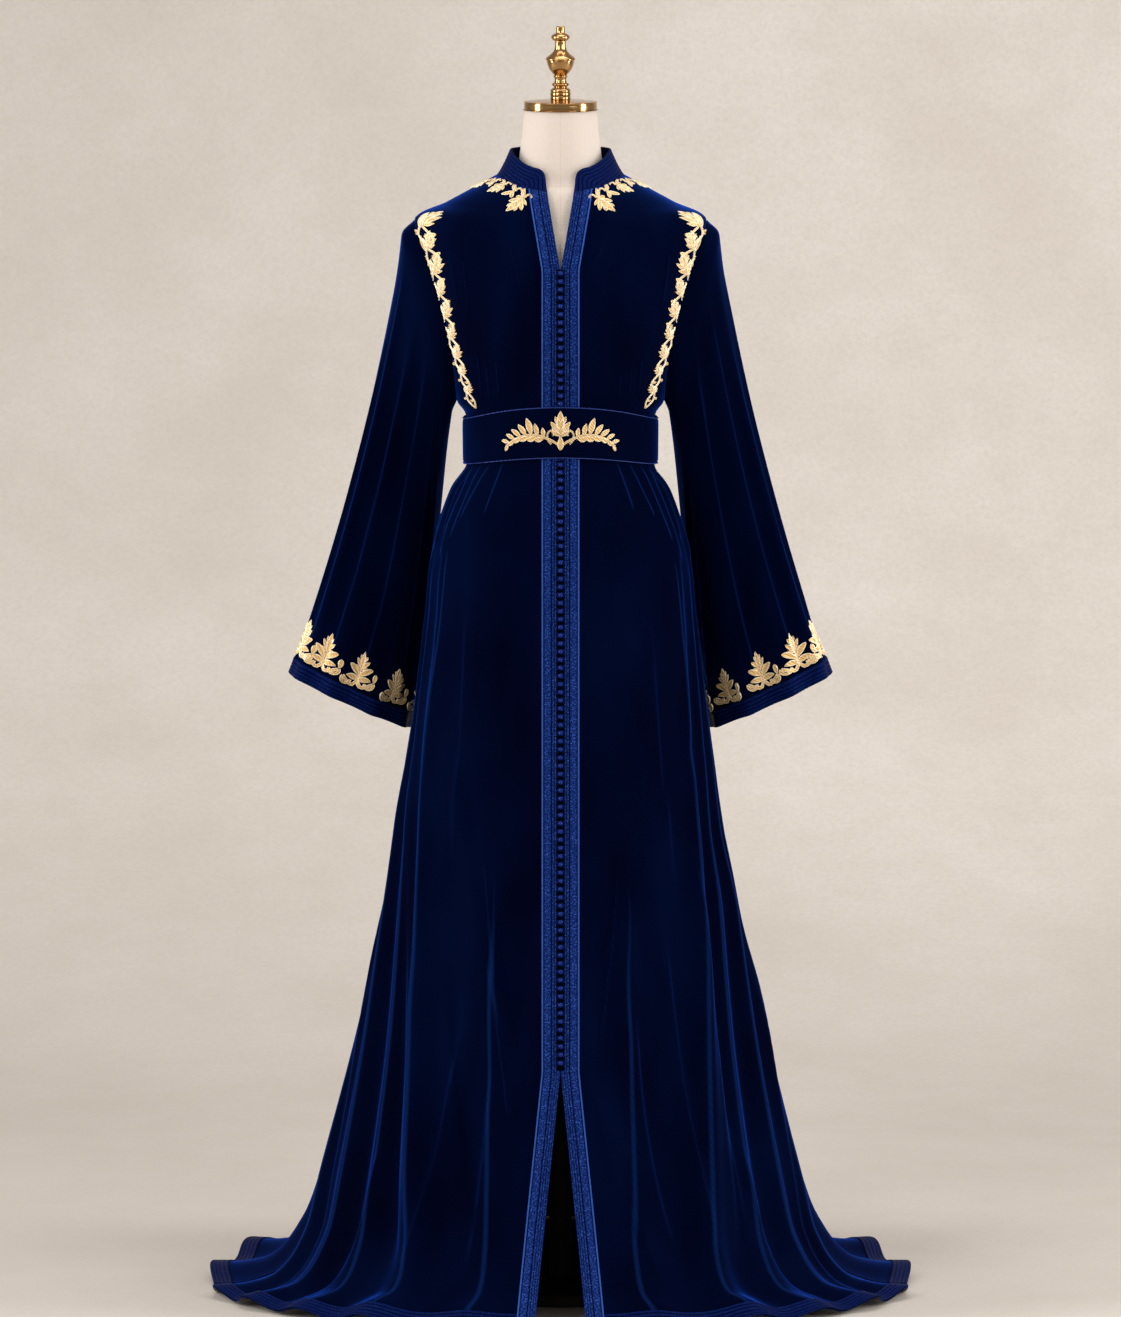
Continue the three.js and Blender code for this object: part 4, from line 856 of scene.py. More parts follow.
def shell(name, points, low, high, replaces, materials, ring=False, line=None):
    """A cloth wall between two offsets of a grid along its normals. Its UV is in metres along columns and
    rows."""
    rows, columns = points.shape[:2]
    normal = normals_of(points, ring)
    offsets = [np.broadcast_to(by, (rows, columns))[..., None] for by in (high, low)]
    both = np.concatenate([(points + normal * by).reshape(-1, 3) for by in offsets])
    both[:, 2] = np.maximum(both[:, 2], 0)
    outside, inside, rims = shell_faces(rows, columns, ring)
    faces = np.concatenate([outside, inside, rims])
    closed = np.concatenate([points, points[:, :1]], 1) if ring else points
    u, v = lengths(closed, 1) * MM, lengths(closed, 0) * MM
    uv_points = np.stack(np.broadcast_arrays(u[None, :], v[:, None]), -1).reshape(-1, 2)
    uv_ids = np.concatenate(shell_faces(rows, columns + ring, False)[:2])
    flat_uv = np.concatenate([uv_points, uv_points])[uv_ids]
    uv = np.concatenate([flat_uv, np.zeros((len(rims), 4, 2))])
    index = np.zeros(len(faces), int)
    if len(materials) > 1:
        index[len(outside) : len(outside) + len(inside)] = 1
    flat = np.arange(len(outside) + len(inside), len(faces))
    lines = None if line is None else np.concatenate([line.ravel(), line.ravel()])
    return put(name, both, [faces], replaces, materials, uv, lines, index, flat)


def bar_faces(shape, first=0):
    """The quads along closed bars of shape (bars, steps, around), and the faces that close their ends."""
    ids = first + np.arange(math.prod(shape)).reshape(shape)
    turned = np.roll(ids, -1, 2)
    along_bars = quads(ids[:, :-1], turned[:, :-1], turned[:, 1:], ids[:, 1:])
    return along_bars, np.concatenate([ids[:, 0, ::-1], ids[:, -1]])


def lofts(name, rings, replaces, materials, line=None, uv=None):
    """Many closed bars at once: rings is (bars, steps, around, 3), each bar closed by a face at both ends."""
    faces = bar_faces(rings.shape[:3])
    corner_uv = None
    if uv is not None:
        corner_uv = np.concatenate([uv.reshape(-1, 2)[part.ravel()] for part in faces])
    return put(name, rings.reshape(-1, 3), faces, replaces, materials, corner_uv, line)


def tube(path, side, up, radius, sides):
    """Rings of points round a path: at each angle, radius x its cosine to the side and x its sine up."""
    angle = np.linspace(0, 2 * np.pi, sides, endpoint=False)[None, :, None]
    return path[:, None] + radius * (np.cos(angle) * side[:, None] + np.sin(angle) * up)


def turned_piece(name, outline, base, sides, replaces, materials):
    """A turned piece: its half outline, smoothed between its corners, carried round the upright axis."""
    outline = np.array(outline, float)
    radius, up = along(outline, np.linspace(0, len(outline) - 1, 3 * (len(outline) - 1) + 1))
    keep = np.concatenate([[True], np.hypot(np.diff(radius), np.diff(up)) > 1e-4])
    radius, up = np.maximum(radius[keep], 0), up[keep]
    inner = radius > 1e-3
    radius, up = radius[inner], up[inner]
    angle = np.linspace(0, 2 * np.pi, sides, endpoint=False)
    height = np.broadcast_to(up[:, None] + base, (len(up), sides))
    ring = np.stack([radius[:, None] * np.cos(angle), radius[:, None] * np.sin(angle), height], -1)
    return lofts(name, ring[None], replaces, materials)


# ------------------------------------------------------------------ raised leaves, stems and scrolls

BLADE_STEPS = 10
# Across a blade: where, how high, and how much it is the light cord of its edge.
BLADE_ACROSS = np.array([
    (-1, 0.1, 1),
    (-0.84, 0.95, 1),
    (-0.52, 0.45, 0.2),
    (0, 0.72, 0.1),
    (0.52, 0.45, 0.2),
    (0.84, 0.95, 1),
    (1, 0.1, 1),
    (0.5, 0, 0.4),
    (-0.5, 0, 0.4),
])
# Half width of each kind along its length, at even steps from foot to tip.
BLADE_KINDS = {
    "leaf": [0.3, 0.5, 0.78, 0.96, 1.0, 0.9, 0.72, 0.46, 0.08],
    "petal": [0.26, 0.4, 0.62, 0.84, 1.0, 1.0, 0.9, 0.66, 0.2],
    "stem": [0.85, 0.95, 1.0, 1.0, 0.98, 0.95, 0.92, 0.86, 0.7],
    "scroll": [0.8, 0.84, 0.84, 0.82, 0.8, 0.8, 0.9, 1.15, 0.7],
}


def arc(x, y, turn, length, bend=0.0, curl=1.0):
    """A path over the cloth from (x, y), in millimetres across and up. It starts turn degrees left of
    straight up and turns on by bend x share^curl."""
    share = (np.arange(BLADE_STEPS - 1) + 0.5) / (BLADE_STEPS - 1)
    heading = np.radians(turn + bend * share**curl)
    moves = np.stack([-np.sin(heading), np.cos(heading)], -1) * length / (BLADE_STEPS - 1)
    return np.concatenate([[(x, y)], (x, y) + np.cumsum(moves, 0)])


def route(*places):
    """A smooth path over the cloth through places (x, y), in even steps."""
    x, y = along(np.array(places, float), np.linspace(0, len(places) - 1, 61))
    run = np.concatenate([[0], np.cumsum(np.hypot(np.diff(x), np.diff(y)))])
    even = np.linspace(0, run[-1], BLADE_STEPS)
    return np.stack([np.interp(even, run, x), np.interp(even, run, y)], -1)


def blade(path, kind, width):
    """A raised blade on a flat ground along a path: across to the right, up, and out, with the weight of the
    edge's cord at each point. Narrow blades are lower."""
    heading = unit(np.gradient(path, axis=0))
    right = np.stack([heading[:, 1], -heading[:, 0]], -1)
    profile = BLADE_KINDS[kind]
    half = np.interp(np.linspace(0, 1, BLADE_STEPS), np.linspace(0, 1, len(profile)), profile) * width / 2
    across, height, edge = BLADE_ACROSS.T
    flat = path[:, None] + right[:, None] * (half[:, None] * across)[..., None]
    raised = sizes().applique_relief / MM * np.minimum(1, 0.35 + half / 2.2)[:, None] * height
    return np.concatenate([flat, raised[..., None]], -1), np.broadcast_to(edge, raised.shape)


def lobed_leaf(x, y, turn, size):
    """A lobed leaf as one long pointed leaf with three pairs of shorter ones that leave its vein."""
    ahead = (-math.sin(math.radians(turn)), math.cos(math.radians(turn)))
    parts = [(arc(x, y, turn, size), "leaf", 0.34 * size)]
    for up, out, length, width in ((0.04, 70, 0.4, 0.19), (0.16, 48, 0.56, 0.23), (0.42, 36, 0.42, 0.2)):
        for side in (-1, 1):
            foot = (x + ahead[0] * size * up, y + ahead[1] * size * up)
            parts.append((arc(*foot, turn + out * side, length * size, -14 * side), "leaf", width * size))
    return parts


def mirror(blades):
    """The same blades on the other side of the centre front."""
    return [(-p, q, path * (-1, 1), kind, width) for p, q, path, kind, width in blades]


def dot(a, b):
    return (a * b).sum(-1)


def lay(name, surface, blades, replaces, facing=1, step=0.01):
    """Sews blades on a surface. Each is (p, q, path, kind, width), with its path drawn from its place p, q.
    The two tangents at the place tell how p and q change with a step across and up the cloth.
    facing is -1 where the surface is a mirror image, and step is a small length along q; along p the
    surface turns, so its step is a hundredth of that."""
    p0, q0 = (np.array([b[k] for b in blades], float)[:, None, None] for k in (0, 1))
    local, edge = (np.stack(part) for part in zip(*(blade(*b[2:]) for b in blades)))

    def tangents(p, q):
        along_p = (surface(p + step / 100, q) - surface(p - step / 100, q)) / (step / 50)
        along_q = (surface(p, q + step) - surface(p, q - step)) / (2 * step)
        return along_p, along_q, unit(facing * np.cross(along_q, along_p))

    along_p, along_q, out = tangents(p0, q0)
    up = -unit(along_q)
    pp, pq, qq = dot(along_p, along_p), dot(along_p, along_q), dot(along_q, along_q)
    p, q = p0, q0
    for steps, direction in ((local[..., 0], np.cross(up, out)), (local[..., 1], up)):
        on_p, on_q = dot(direction, along_p), dot(direction, along_q)
        p = p + steps * (on_p * qq - on_q * pq) / (pp * qq - pq * pq)
        q = q + steps * (on_q * pp - on_p * pq) / (pp * qq - pq * pq)
    out = tangents(p, q)[2]
    points = surface(p, q) + out * (local[..., 2] + sizes().applique_clear / MM)[..., None]
    return lofts(name, points, replaces, [gold_thread()], edge, local[..., :2] * MM)


# ------------------------------------------------------------------ materials


def add(tree, kind, inputs=None, **settings):
    """Adds one node: settings are its own values, inputs its sockets' values or the sockets to link."""
    made = tree.nodes.new(kind)
    for key, value in settings.items():
        setattr(made, key, value)
    for key, value in (inputs or {}).items():
        if isinstance(value, bpy.types.NodeSocket):
            tree.links.new(value, made.inputs[key])
        else:
            made.inputs[key].default_value = value
    return made


def rgba(colour):
    return (*colour, 1.0)


def material(name):
    """Turns a function that fills a node tree and returns its shader's inputs into one that gives the
    material of that name, made once."""

    def wrap(build):
        @wraps(build)
        def get():
            made = bpy.data.materials.get(name)
            if made is None:
                made = bpy.data.materials.new(name)
                made.use_nodes = True
                tree = made.node_tree
                tree.nodes.clear()
                shader = add(tree, "ShaderNodeBsdfPrincipled", build(tree, colours()))
                add(tree, "ShaderNodeOutputMaterial", {"Surface": shader.outputs[0]})
            return made

        return get

    return wrap


def blend_colours(tree, factor, low, high):
    mixed = add(tree, "ShaderNodeMix", {0: factor}, data_type="RGBA")
    for socket, value in ((mixed.inputs[6], low), (mixed.inputs[7], high)):
        if isinstance(value, bpy.types.NodeSocket):
            tree.links.new(value, socket)
        else:
            socket.default_value = rgba(value)
    return mixed.outputs[2]


def spread(tree, value, low, high, to_low=0.0, to_high=1.0):
    """Stretches a value from one range to another, held inside it."""
    sockets = {"Value": value, "From Min": low, "From Max": high, "To Min": to_low, "To Max": to_high}
    return add(tree, "ShaderNodeMapRange", sockets).outputs[0]


def tinted(tree, base, colour, value, *span):
    """A base colour with another mixed in, as far as spread makes of a value."""
    return blend_colours(tree, spread(tree, value, *span), base, colour)


def bump(tree, height, strength, distance):
    sockets = {"Height": height, "Strength": strength, "Distance": distance}
    return add(tree, "ShaderNodeBump", sockets).outputs[0]


def calc(tree, operation, *values):
    """One step of arithmetic on sockets and numbers."""
    return add(tree, "ShaderNodeMath", dict(enumerate(values)), operation=operation).outputs[0]


def noise(tree, vector, scale, detail, roughness=0.5):
    """Cloudy noise from 0 to 1, scale clouds to a metre."""
    sockets = {"Vector": vector, "Scale": scale, "Detail": detail, "Roughness": roughness}
    return add(tree, "ShaderNodeTexNoise", sockets).outputs[0]


def waves(tree, vector, scale, distortion, direction, detail=2):
    """Bands from 0 to 1 along a direction."""
    sockets = {"Vector": vector, "Scale": scale, "Distortion": distortion, "Detail": detail}
    return add(tree, "ShaderNodeTexWave", sockets, bands_direction=direction).outputs["Fac"]


def object_place(tree):
    return add(tree, "ShaderNodeTexCoord").outputs["Object"]


def cloth_place(tree):
    return add(tree, "ShaderNodeUVMap", uv_map="cloth").outputs[0]


def point_value(tree):
    """The value that put stores at each point."""
    return add(tree, "ShaderNodeAttribute", attribute_name="line").outputs["Fac"]


@material("silk velvet with a cut pile")
def silk_velvet(tree, c):
    """Silk velvet, woven with a cut pile: nearly black face on, royal blue where the pile is seen edge on, in
    soft brushed patches, and with a painted highlight along the edges of folds and creases."""
    where = object_place(tree)
    # patches about 90 mm across, longer down the cloth than across
    tall = add(tree, "ShaderNodeMapping", {"Vector": where, "Scale": (1, 1, 0.35)}).outputs[0]
    base = tinted(tree, c.velvet, c.velvet_patch, noise(tree, tall, 11, 2), 0.35, 0.7)
    # single tufts are 0.2 mm; drawn at 1.6 mm so that they show
    tufts = noise(tree, where, 620, 2)
    base = tinted(tree, base, c.velvet_patch, tufts, 0.5, 0.8, 0, 0.35)
    return {
        # painted highlight: the crease colour is mixed in where the point value marks a fold's or crease's
        # edge
        "Base Color": tinted(tree, base, c.crease, point_value(tree), 0.1, 1, 0, 0.38),
        "Roughness": 0.9,
        "Specular IOR Level": 0.03,
        "Specular Tint": rgba(c.velvet_sheen),
        "Sheen Weight": 1.0,
        "Sheen Roughness": 0.3,
        "Sheen Tint": rgba(c.velvet_sheen),
        "Normal": bump(tree, tufts, 0.25, 0.0006),
    }


@material("viscose lining woven in satin")
def lining_satin(tree, c):
    """Dark viscose lining, woven in satin: a dull, almost black face with a faint warm cast."""
    ripples = noise(tree, object_place(tree), 30, 3)
    return {
        "Base Color": tinted(tree, c.lining, tone("lining_warm"), ripples, 0.3, 0.7),
        "Roughness": 0.7,
        "Specular IOR Level": 0.2,
        "Normal": bump(tree, ripples, 0.2, 0.002),
    }


def plaited(tree, c, colour, glint, edge_cord):
    """Rows of slanting stitches, each with its own glint, between grooves darkened with painted shade;
    edge_cord is how pale the sixth row is, which only the front braid has."""
    where = cloth_place(tree)
    # the point value counts the rows across a band, so its whole numbers are the grooves
    across = point_value(tree)
    off_middle = calc(tree, "ABSOLUTE", calc(tree, "SUBTRACT", calc(tree, "FRACT", across), 0.5))
    raised = spread(tree, off_middle, 0.28, 0.46, 1, 0)
    # single stitches are 0.4 mm; drawn at 1.2 mm so that they show
    glints = noise(tree, where, 480, 3, 0.75)
    sparkle = calc(tree, "MULTIPLY", spread(tree, glints, 0.5, 0.62), raised)
    patchy = calc(tree, "MULTIPLY", sparkle, spread(tree, noise(tree, where, 90, 1), 0.35, 0.65, 0.5, 1))
    # painted shade: the grooves between the rows are darkened towards near black
    base = blend_colours(tree, raised, tone("braid_groove_shade"), colour)
    base = tinted(tree, base, c.braid_light, patchy, 0, 1, 0, glint)
    return {
        "Base Color": tinted(tree, base, c.braid_light, across, 5.05, 5.1, 0, edge_cord),
        "Roughness": 0.6,
        "Specular IOR Level": 0.05,
        "Specular Tint": rgba(c.braid_light),
        "Sheen Weight": 0.06,
        "Sheen Roughness": 0.3,
        "Sheen Tint": rgba(c.braid_light),
        "Normal": bump(tree, calc(tree, "ADD", glints, raised), 0.5, 0.0005),
    }


@material("silk braid plaited from twisted thread")
def woven_braid(tree, c):
    """Silk braid, plaited from twisted thread: glinting rows between grooves darkened with painted shade, and
    a pale edge cord.
    """
    return plaited(tree, c, c.braid, glint=0.75, edge_cord=0.5)


@material("silk braid plaited from twisted thread, dark")
def dark_braid(tree, c):
    """Dark silk braid, plaited tighter from twisted thread, so that it glints less."""
    return plaited(tree, c, c.braid_dark, glint=0.12, edge_cord=0.0)


@material("silk cord knotted into balls")
def knotted_cord(tree, c):
    """Silk cord, knotted into balls: strands that cross, with small satin highlights."""
    strands = waves(tree, object_place(tree), 330, 6, "DIAGONAL", 1)
    ball = point_value(tree)
    blue = tinted(tree, tone("cord_dark"), c.knot, strands, 0.2, 0.9)
    return {
        # painted shade: the loops and the strip behind the balls are darkened towards cord_shade
        "Base Color": blend_colours(tree, ball, tone("cord_shade"), blue),
        "Roughness": 0.32,
        "Specular IOR Level": spread(tree, ball, 0, 1, 0.02, 0.5),
        "Specular Tint": rgba(tone("cord_glint")),
        "Normal": bump(tree, strands, 0.5, 0.0005),
    }


@material("silk piping, twisted")
def piping_cord(tree, c):
    """Silk piping, twisted from pale blue thread: a thin light line with a rope's slant."""
    twist = waves(tree, object_place(tree), 200, 1, "DIAGONAL")
    return {
        "Base Color": blend_colours(tree, twist, tone("piping_dark"), tone("piping")),
        "Roughness": 0.5,
        "Specular IOR Level": 0.2,
        "Normal": bump(tree, twist, 0.4, 0.0004),
    }


@material("gilt thread laid in satin stitch")
def gold_thread(tree, c):
    """Gilt thread, laid in satin stitch and edged with cord: bright at the cord, warmer and darker in the
    stitches and the veins."""
    # stitches 0.5 mm wide, drawn at 1.1 mm so that they show
    stitches = waves(tree, cloth_place(tree), 145, 3, "DIAGONAL")
    fill = tinted(tree, tone("gold_dark"), c.gold, stitches, 0.1, 0.9)
    return {
        "Base Color": tinted(tree, fill, c.gold_edge, point_value(tree), 0.15, 0.9),
        "Metallic": 0.25,
        "Roughness": 0.42,
        "Specular IOR Level": 0.6,
        "Normal": bump(tree, stitches, 0.55, 0.0005),
    }


@material("linen, plain woven")
def linen_cover(tree, c):
    """Linen, plain woven and stretched over the form: a pale slubbed weave with thin seams at the centre and
    round the neck."""
    where = object_place(tree)
    # threads 0.6 mm apart, drawn at 1.4 mm so that they show
    weft, warp = (waves(tree, where, 112, 2, direction) for direction in ("Z", "X"))
    weave = calc(tree, "MULTIPLY", weft, warp)
    base = tinted(tree, tone("linen_dark"), c.linen, noise(tree, where, 220, 3), 0.3, 0.7, 0.55, 1)
    base = tinted(tree, base, tone("linen_thread"), weave, 0, 1, 0.25, 0)
    axes = add(tree, "ShaderNodeSeparateXYZ", {0: where}).outputs
    for axis, seam in ((0, 0.0), (2, NECK_SEAM * MM)):
        away = calc(tree, "ABSOLUTE", calc(tree, "SUBTRACT", axes[axis], seam))
        base = tinted(tree, base, tone("linen_seam"), away, 0.0004, 0.0014, 0.25, 0)
    return {
        "Base Color": base,
        "Roughness": 0.85,
        "Specular IOR Level": 0.2,
        "Sheen Weight": 0.2,
        "Normal": bump(tree, weave, 0.3, 0.0004),
    }


@material("brass, turned and polished")
def polished_brass(tree, c):
    """Brass, turned and polished: a warm mirror with faint turning marks and a little tarnish in patches."""
    where = object_place(tree)
    tarnish = noise(tree, where, 45, 4)
    return {
        "Base Color": tinted(tree, c.brass, tone("brass_tarnish"), tarnish, 0.45, 0.75, 0, 0.5),
        "Metallic": 1.0,
        "Roughness": spread(tree, tarnish, 0.3, 0.7, 0.1, 0.2),
        "Normal": bump(tree, waves(tree, where, 400, 1, "Z"), 0.04, 0.0002),
    }


@material("steel, powder coated")
def powder_coat(tree, c):
    """Steel, powder coated: satin black with a fine orange-peel skin."""
    where = object_place(tree)
    wear = noise(tree, where, 26, 5)
    return {
        "Base Color": tinted(tree, c.metal, tone("metal_worn"), wear, 0.45, 0.7),
        "Roughness": spread(tree, wear, 0.3, 0.7, 0.6, 0.75),
        "Specular IOR Level": 0.2,
        "Normal": bump(tree, noise(tree, where, 420, 2), 0.15, 0.0004),
    }


@material("lime plaster, troweled")
def limewash(tree, c):
    """Lime plaster, troweled and washed: a pale matt ground with cloudy, slightly warmer patches."""
    where = object_place(tree)
    base = tinted(tree, c.plaster, tone("plaster_cloud"), noise(tree, where, 2.4, 9, 0.7), 0.35, 0.65)
    # trowel marks, drawn about 8 mm across
    base = tinted(tree, base, tone("plaster_mark"), noise(tree, where, 120, 4, 0.8), 0.4, 0.7, 0, 0.35)
    # painted shade: the floor and the foot of the curve, up to 0.3 m high, are darkened towards plaster_shade,
    # and so is the left side, where less light falls
    across, _, height = add(tree, "ShaderNodeSeparateXYZ", {0: where}).outputs
    base = tinted(tree, base, tone("plaster_shade"), height, 0, 0.3, 0.4, 0)
    base = tinted(tree, base, tone("plaster_shade"), across, -1.6, 0.6, 0.4, 0)
    # inside the train, where only the slit shows the floor, it is in deep shade
    away = add(tree, "ShaderNodeVectorMath", {0: where, 1: TRAIN_MIDDLE}, operation="DISTANCE")
    base = tinted(tree, base, tone("deep_shade"), away.outputs["Value"], *TRAIN_INSIDE, 0.98, 0)
    # from behind, a camera looks through the backdrop, so that the kaftan's back can be seen
    behind = add(tree, "ShaderNodeNewGeometry").outputs["Backfacing"]
    looked_at = add(tree, "ShaderNodeLightPath").outputs["Is Camera Ray"]
    return {
        "Base Color": base,
        "Roughness": 0.95,
        "Specular IOR Level": 0.1,
        "Alpha": calc(tree, "SUBTRACT", 1.0, calc(tree, "MULTIPLY", behind, looked_at)),
    }


# ------------------------------------------------------------------ pieces


class KAFTAN_OT_trunk(bpy.types.Operator):
    """Fronts and backs in velvet, from the neck and shoulders to the train's hem"""

    bl_idname = "kaftan.trunk"
    bl_label = "Fronts and back"

    def execute(self, context):
        wall = sizes().wall / MM
        # the diagonal creases of the bodice and waist need closer rows than the long ones of the skirt
        below_waist = float(row_at(WAIST_CREASES_END))
        rows = np.concatenate([even_rows(0, below_waist, 96)[:-1], even_rows(below_waist, HEM, 96)])
        both = [silk_velvet(), lining_satin()]
        for name, sign in SIDES:
            for side, grid, columns, flat, area in (
                ("front", front_grid, 156, (0.78, 1.55), 0.5),
                ("back", back_grid, 116, (0.95, 1.8), 0.6),
            ):
                # line is the painted highlight along folds and creases, which the velvet mixes into its colour
                points, line = grid(sign, columns, rows)
                solids = [f"bodice_{side}_{name}", f"skirt_{side}_{name}"]
                piece = shell(f"cloth_{side}_{name}", points, -wall, 0, solids, both, line=line)
        return {"FINISHED"}


class KAFTAN_OT_sleeves(bpy.types.Operator):
    """The two bell sleeves in velvet, from the armhole to the mouth"""

    bl_idname = "kaftan.sleeves"
    bl_label = "Sleeves"

    def execute(self, context):
        wall = sizes().wall / MM
        both = [silk_velvet(), lining_satin()]
        rows = np.concatenate([np.linspace(-1, 0, 10)[:-1], np.linspace(0, CUFF_END, 70)])
        turns = np.linspace(0, 1, 180, endpoint=False)
        for name, sign in SIDES:
            # line is the painted highlight along the sleeve's creases, which the velvet mixes into its colour
            # a mirrored sleeve's columns run the other way, so that its normals still point outwards
            points, line = (grid[:, ::sign] for grid in sleeve_and_highlight(turns[None, :], rows[:, None], sign))
            node = f"sleeve_{name}"
            piece = shell(f"cloth_{node}", points, -wall, 0, [node], both, ring=True, line=line)
        return {"FINISHED"}


def ribs(across, count):
    """Height from 0 to 1 over a band: rounded rows of braid, each (1 - x^2)^0.35 of x from -1 to 1."""
    place = np.clip(across, 0, 1) * count
    within = 2 * (place - np.floor(np.minimum(place, count - 1e-6))) - 1
    return np.sqrt(np.clip(1 - within**2, 0, 1)) ** 0.7


def ribbed(name, points, raised, across, thick, braid, ring=False):
    """A band of braid over a grid, as high as its rows are raised from 0 to 1. across counts its rows."""
    gap = sizes().seam_gap / MM
    high = gap + thick * (0.5 + 0.5 * raised)
    across = np.broadcast_to(across, points.shape[:2])
    return shell(f"cloth_{name}", points, gap, high, [name], [braid], ring=ring, line=across)


class KAFTAN_OT_braid(bpy.types.Operator):
    """Bands of braid beside the front edges, round the hem and round the cuffs"""

    bl_idname = "kaftan.braid"
    bl_label = "Braid bands"

    def execute(self, context):
        width, thick = sizes().braid_width / MM, sizes().braid_thick / MM
        share = np.linspace(0, 1, 37)
        t = even_rows(0, HEM, 220)[:, None]
        at, height = FRONT_BRAID.T
        # rows from the inner edge: cord, three narrow rows, the wide field and the outer cord
        row_edges = [0, 0.07, 0.19, 0.32, 0.45, 0.91, 1]
        for name, sign in SIDES:
            phi = sided(edge_angle(t, share[None, :] * width), sign)
            points = trunk(phi, np.broadcast_to(t, phi.shape))
            placed = share[None, ::sign]
            raised, across = np.interp(placed, at, height), np.interp(placed, row_edges, np.arange(7))
            ribbed(f"front_band_{name}", points, raised, across, thick, woven_braid())
        hem_rows = np.linspace(HEM_TOP, HEM, BAND_STEPS)
        cuff_rows = np.linspace(CUFF_TOP, CUFF_END, BAND_STEPS)
        turns = np.linspace(0, 1, 180, endpoint=False)
        raised = ribs(np.linspace(0, 1, BAND_STEPS), sizes().braid_ribs)[:, None]
        across = np.linspace(0, sizes().braid_ribs, BAND_STEPS)[:, None]
        for name, sign in SIDES:
            t = hem_rows[:, None]
            start = edge_angle(t, width + sizes().seam_gap / MM)
            points, _ = panel(start, panel_end(t), sign, 150, t)
            ribbed(f"hem_band_front_{name}", points, raised, across, HEM_THICK, dark_braid())
            points, _ = back_grid(sign, 120, hem_rows)
            ribbed(f"hem_band_back_{name}", points, raised, across, HEM_THICK, dark_braid())
            points = sleeve(turns[None, :], cuff_rows[:, None], sign)[:, ::sign]
            ribbed(f"cuff_band_{name}", points, raised, across, CUFF_THICK, dark_braid(), ring=True)
        return {"FINISHED"}


class KAFTAN_OT_collar(bpy.types.Operator):
    """The stand collar, covered with rows of braid that turn down at its front corners"""

    bl_idname = "kaftan.collar"
    bl_label = "Collar"

    def execute(self, context):
        start = float(edge_angle(np.array(0.0)))
        phi = start + (2 * np.pi - 2 * start) * np.linspace(0, 1, 261)
        up = np.linspace(1, 0, 31)
        points, from_edge = collar_point(phi[None, :], up[:, None])
        height = np.linalg.norm(points[0] - points[-1], axis=-1)
        from_top = (1 - up)[:, None] * height[None, :]
        # the rows follow the nearer of the top and the front edge: a soft least of the two distances
        near = np.exp(-from_top / TURN_SOFTNESS) + np.exp(-np.maximum(from_edge, 0) / TURN_SOFTNESS)
        inward = -TURN_SOFTNESS * np.log(near)
        across = np.clip(inward, 0, None) * sizes().braid_ribs / COLLAR_BRAID
        high = -0.5 + 0.5 * ribs(np.mod(across, 1), 1)
        braid = [dark_braid()]
        piece = shell("cloth_collar", points, -COLLAR["thick"], high, ["collar"], braid, line=across)
        return {"FINISHED"}


class KAFTAN_OT_belt(bpy.types.Operator):
    """The stiffened velvet belt with its two piped edges"""

    bl_idname = "kaftan.belt"
    bl_label = "Belt"

    def execute(self, context):
        phi = np.linspace(0, 2 * np.pi, 240, endpoint=False)
        up = np.linspace(1, 0, 13)[:, None]
        inner = belt_point(phi[None, :], up)
        high = BELT["thick"] * (0.35 + 0.65 * np.sqrt(np.clip(1 - (2 * up - 1) ** 8, 0, 1)))
        velvet, plain = [silk_velvet()], np.zeros(inner.shape[:2])
        piece = shell("cloth_belt", inner, 0, high, ["belt"], velvet, ring=True, line=plain)
        tubes = []
        for edge in (0.012, 0.988):
            centre = belt_point(phi, edge)
            out = outwards(centre)
            tubes.append(tube(centre + out * (BELT["thick"] - 0.5), out, UP, BELT["piping"], 8))
        rings = np.stack(tubes)
        ids = np.arange(rings.size // 3).reshape(rings.shape[:3])
        ahead = np.roll(ids, -1, 1)
        faces = quads(ids, ahead, np.roll(ahead, -1, 2), np.roll(ids, -1, 2))
        put("cloth_belt_piping", rings.reshape(-1, 3), [faces], [], [piping_cord()])
        return {"FINISHED"}


def ball_shape(radius):
    """A knotted ball: rings round its axis, lumpy by 0.07 cos(3 turn + 2.2 tilt) sin(tilt) where its strands
    cross and a little flat, then its poles; and its quads and triangles."""
    tilt = np.linspace(0, np.pi, BALL["rings"] + 2)[1:-1, None]
    turn = np.linspace(0, 2 * np.pi, BALL["around"], endpoint=False)
    lumps = 1 + BALL["lumps"] * np.cos(3 * turn + 2.2 * tilt) * np.sin(tilt)
    level = np.sin(tilt) * lumps
    high = BALL["flat"] * np.cos(tilt) * np.ones(BALL["around"])
    points = np.stack([level * np.cos(turn), level * np.sin(turn), high], -1).reshape(-1, 3)
    points = np.concatenate([points, [BALL["flat"] * UP, -BALL["flat"] * UP]]) * radius
    ids = np.arange(BALL["rings"] * BALL["around"]).reshape(BALL["rings"], BALL["around"])
    over = np.roll(ids, -1, 1)
    poles = np.full_like(ids[:2], ids.size) + [[0], [1]]
    tips = [np.stack([poles[0], ids[0], over[0]], -1), np.stack([poles[1], over[-1], ids[-1]], -1)]
    return points, quads(ids[:-1], ids[1:], over[1:], over[:-1]), np.concatenate(tips)


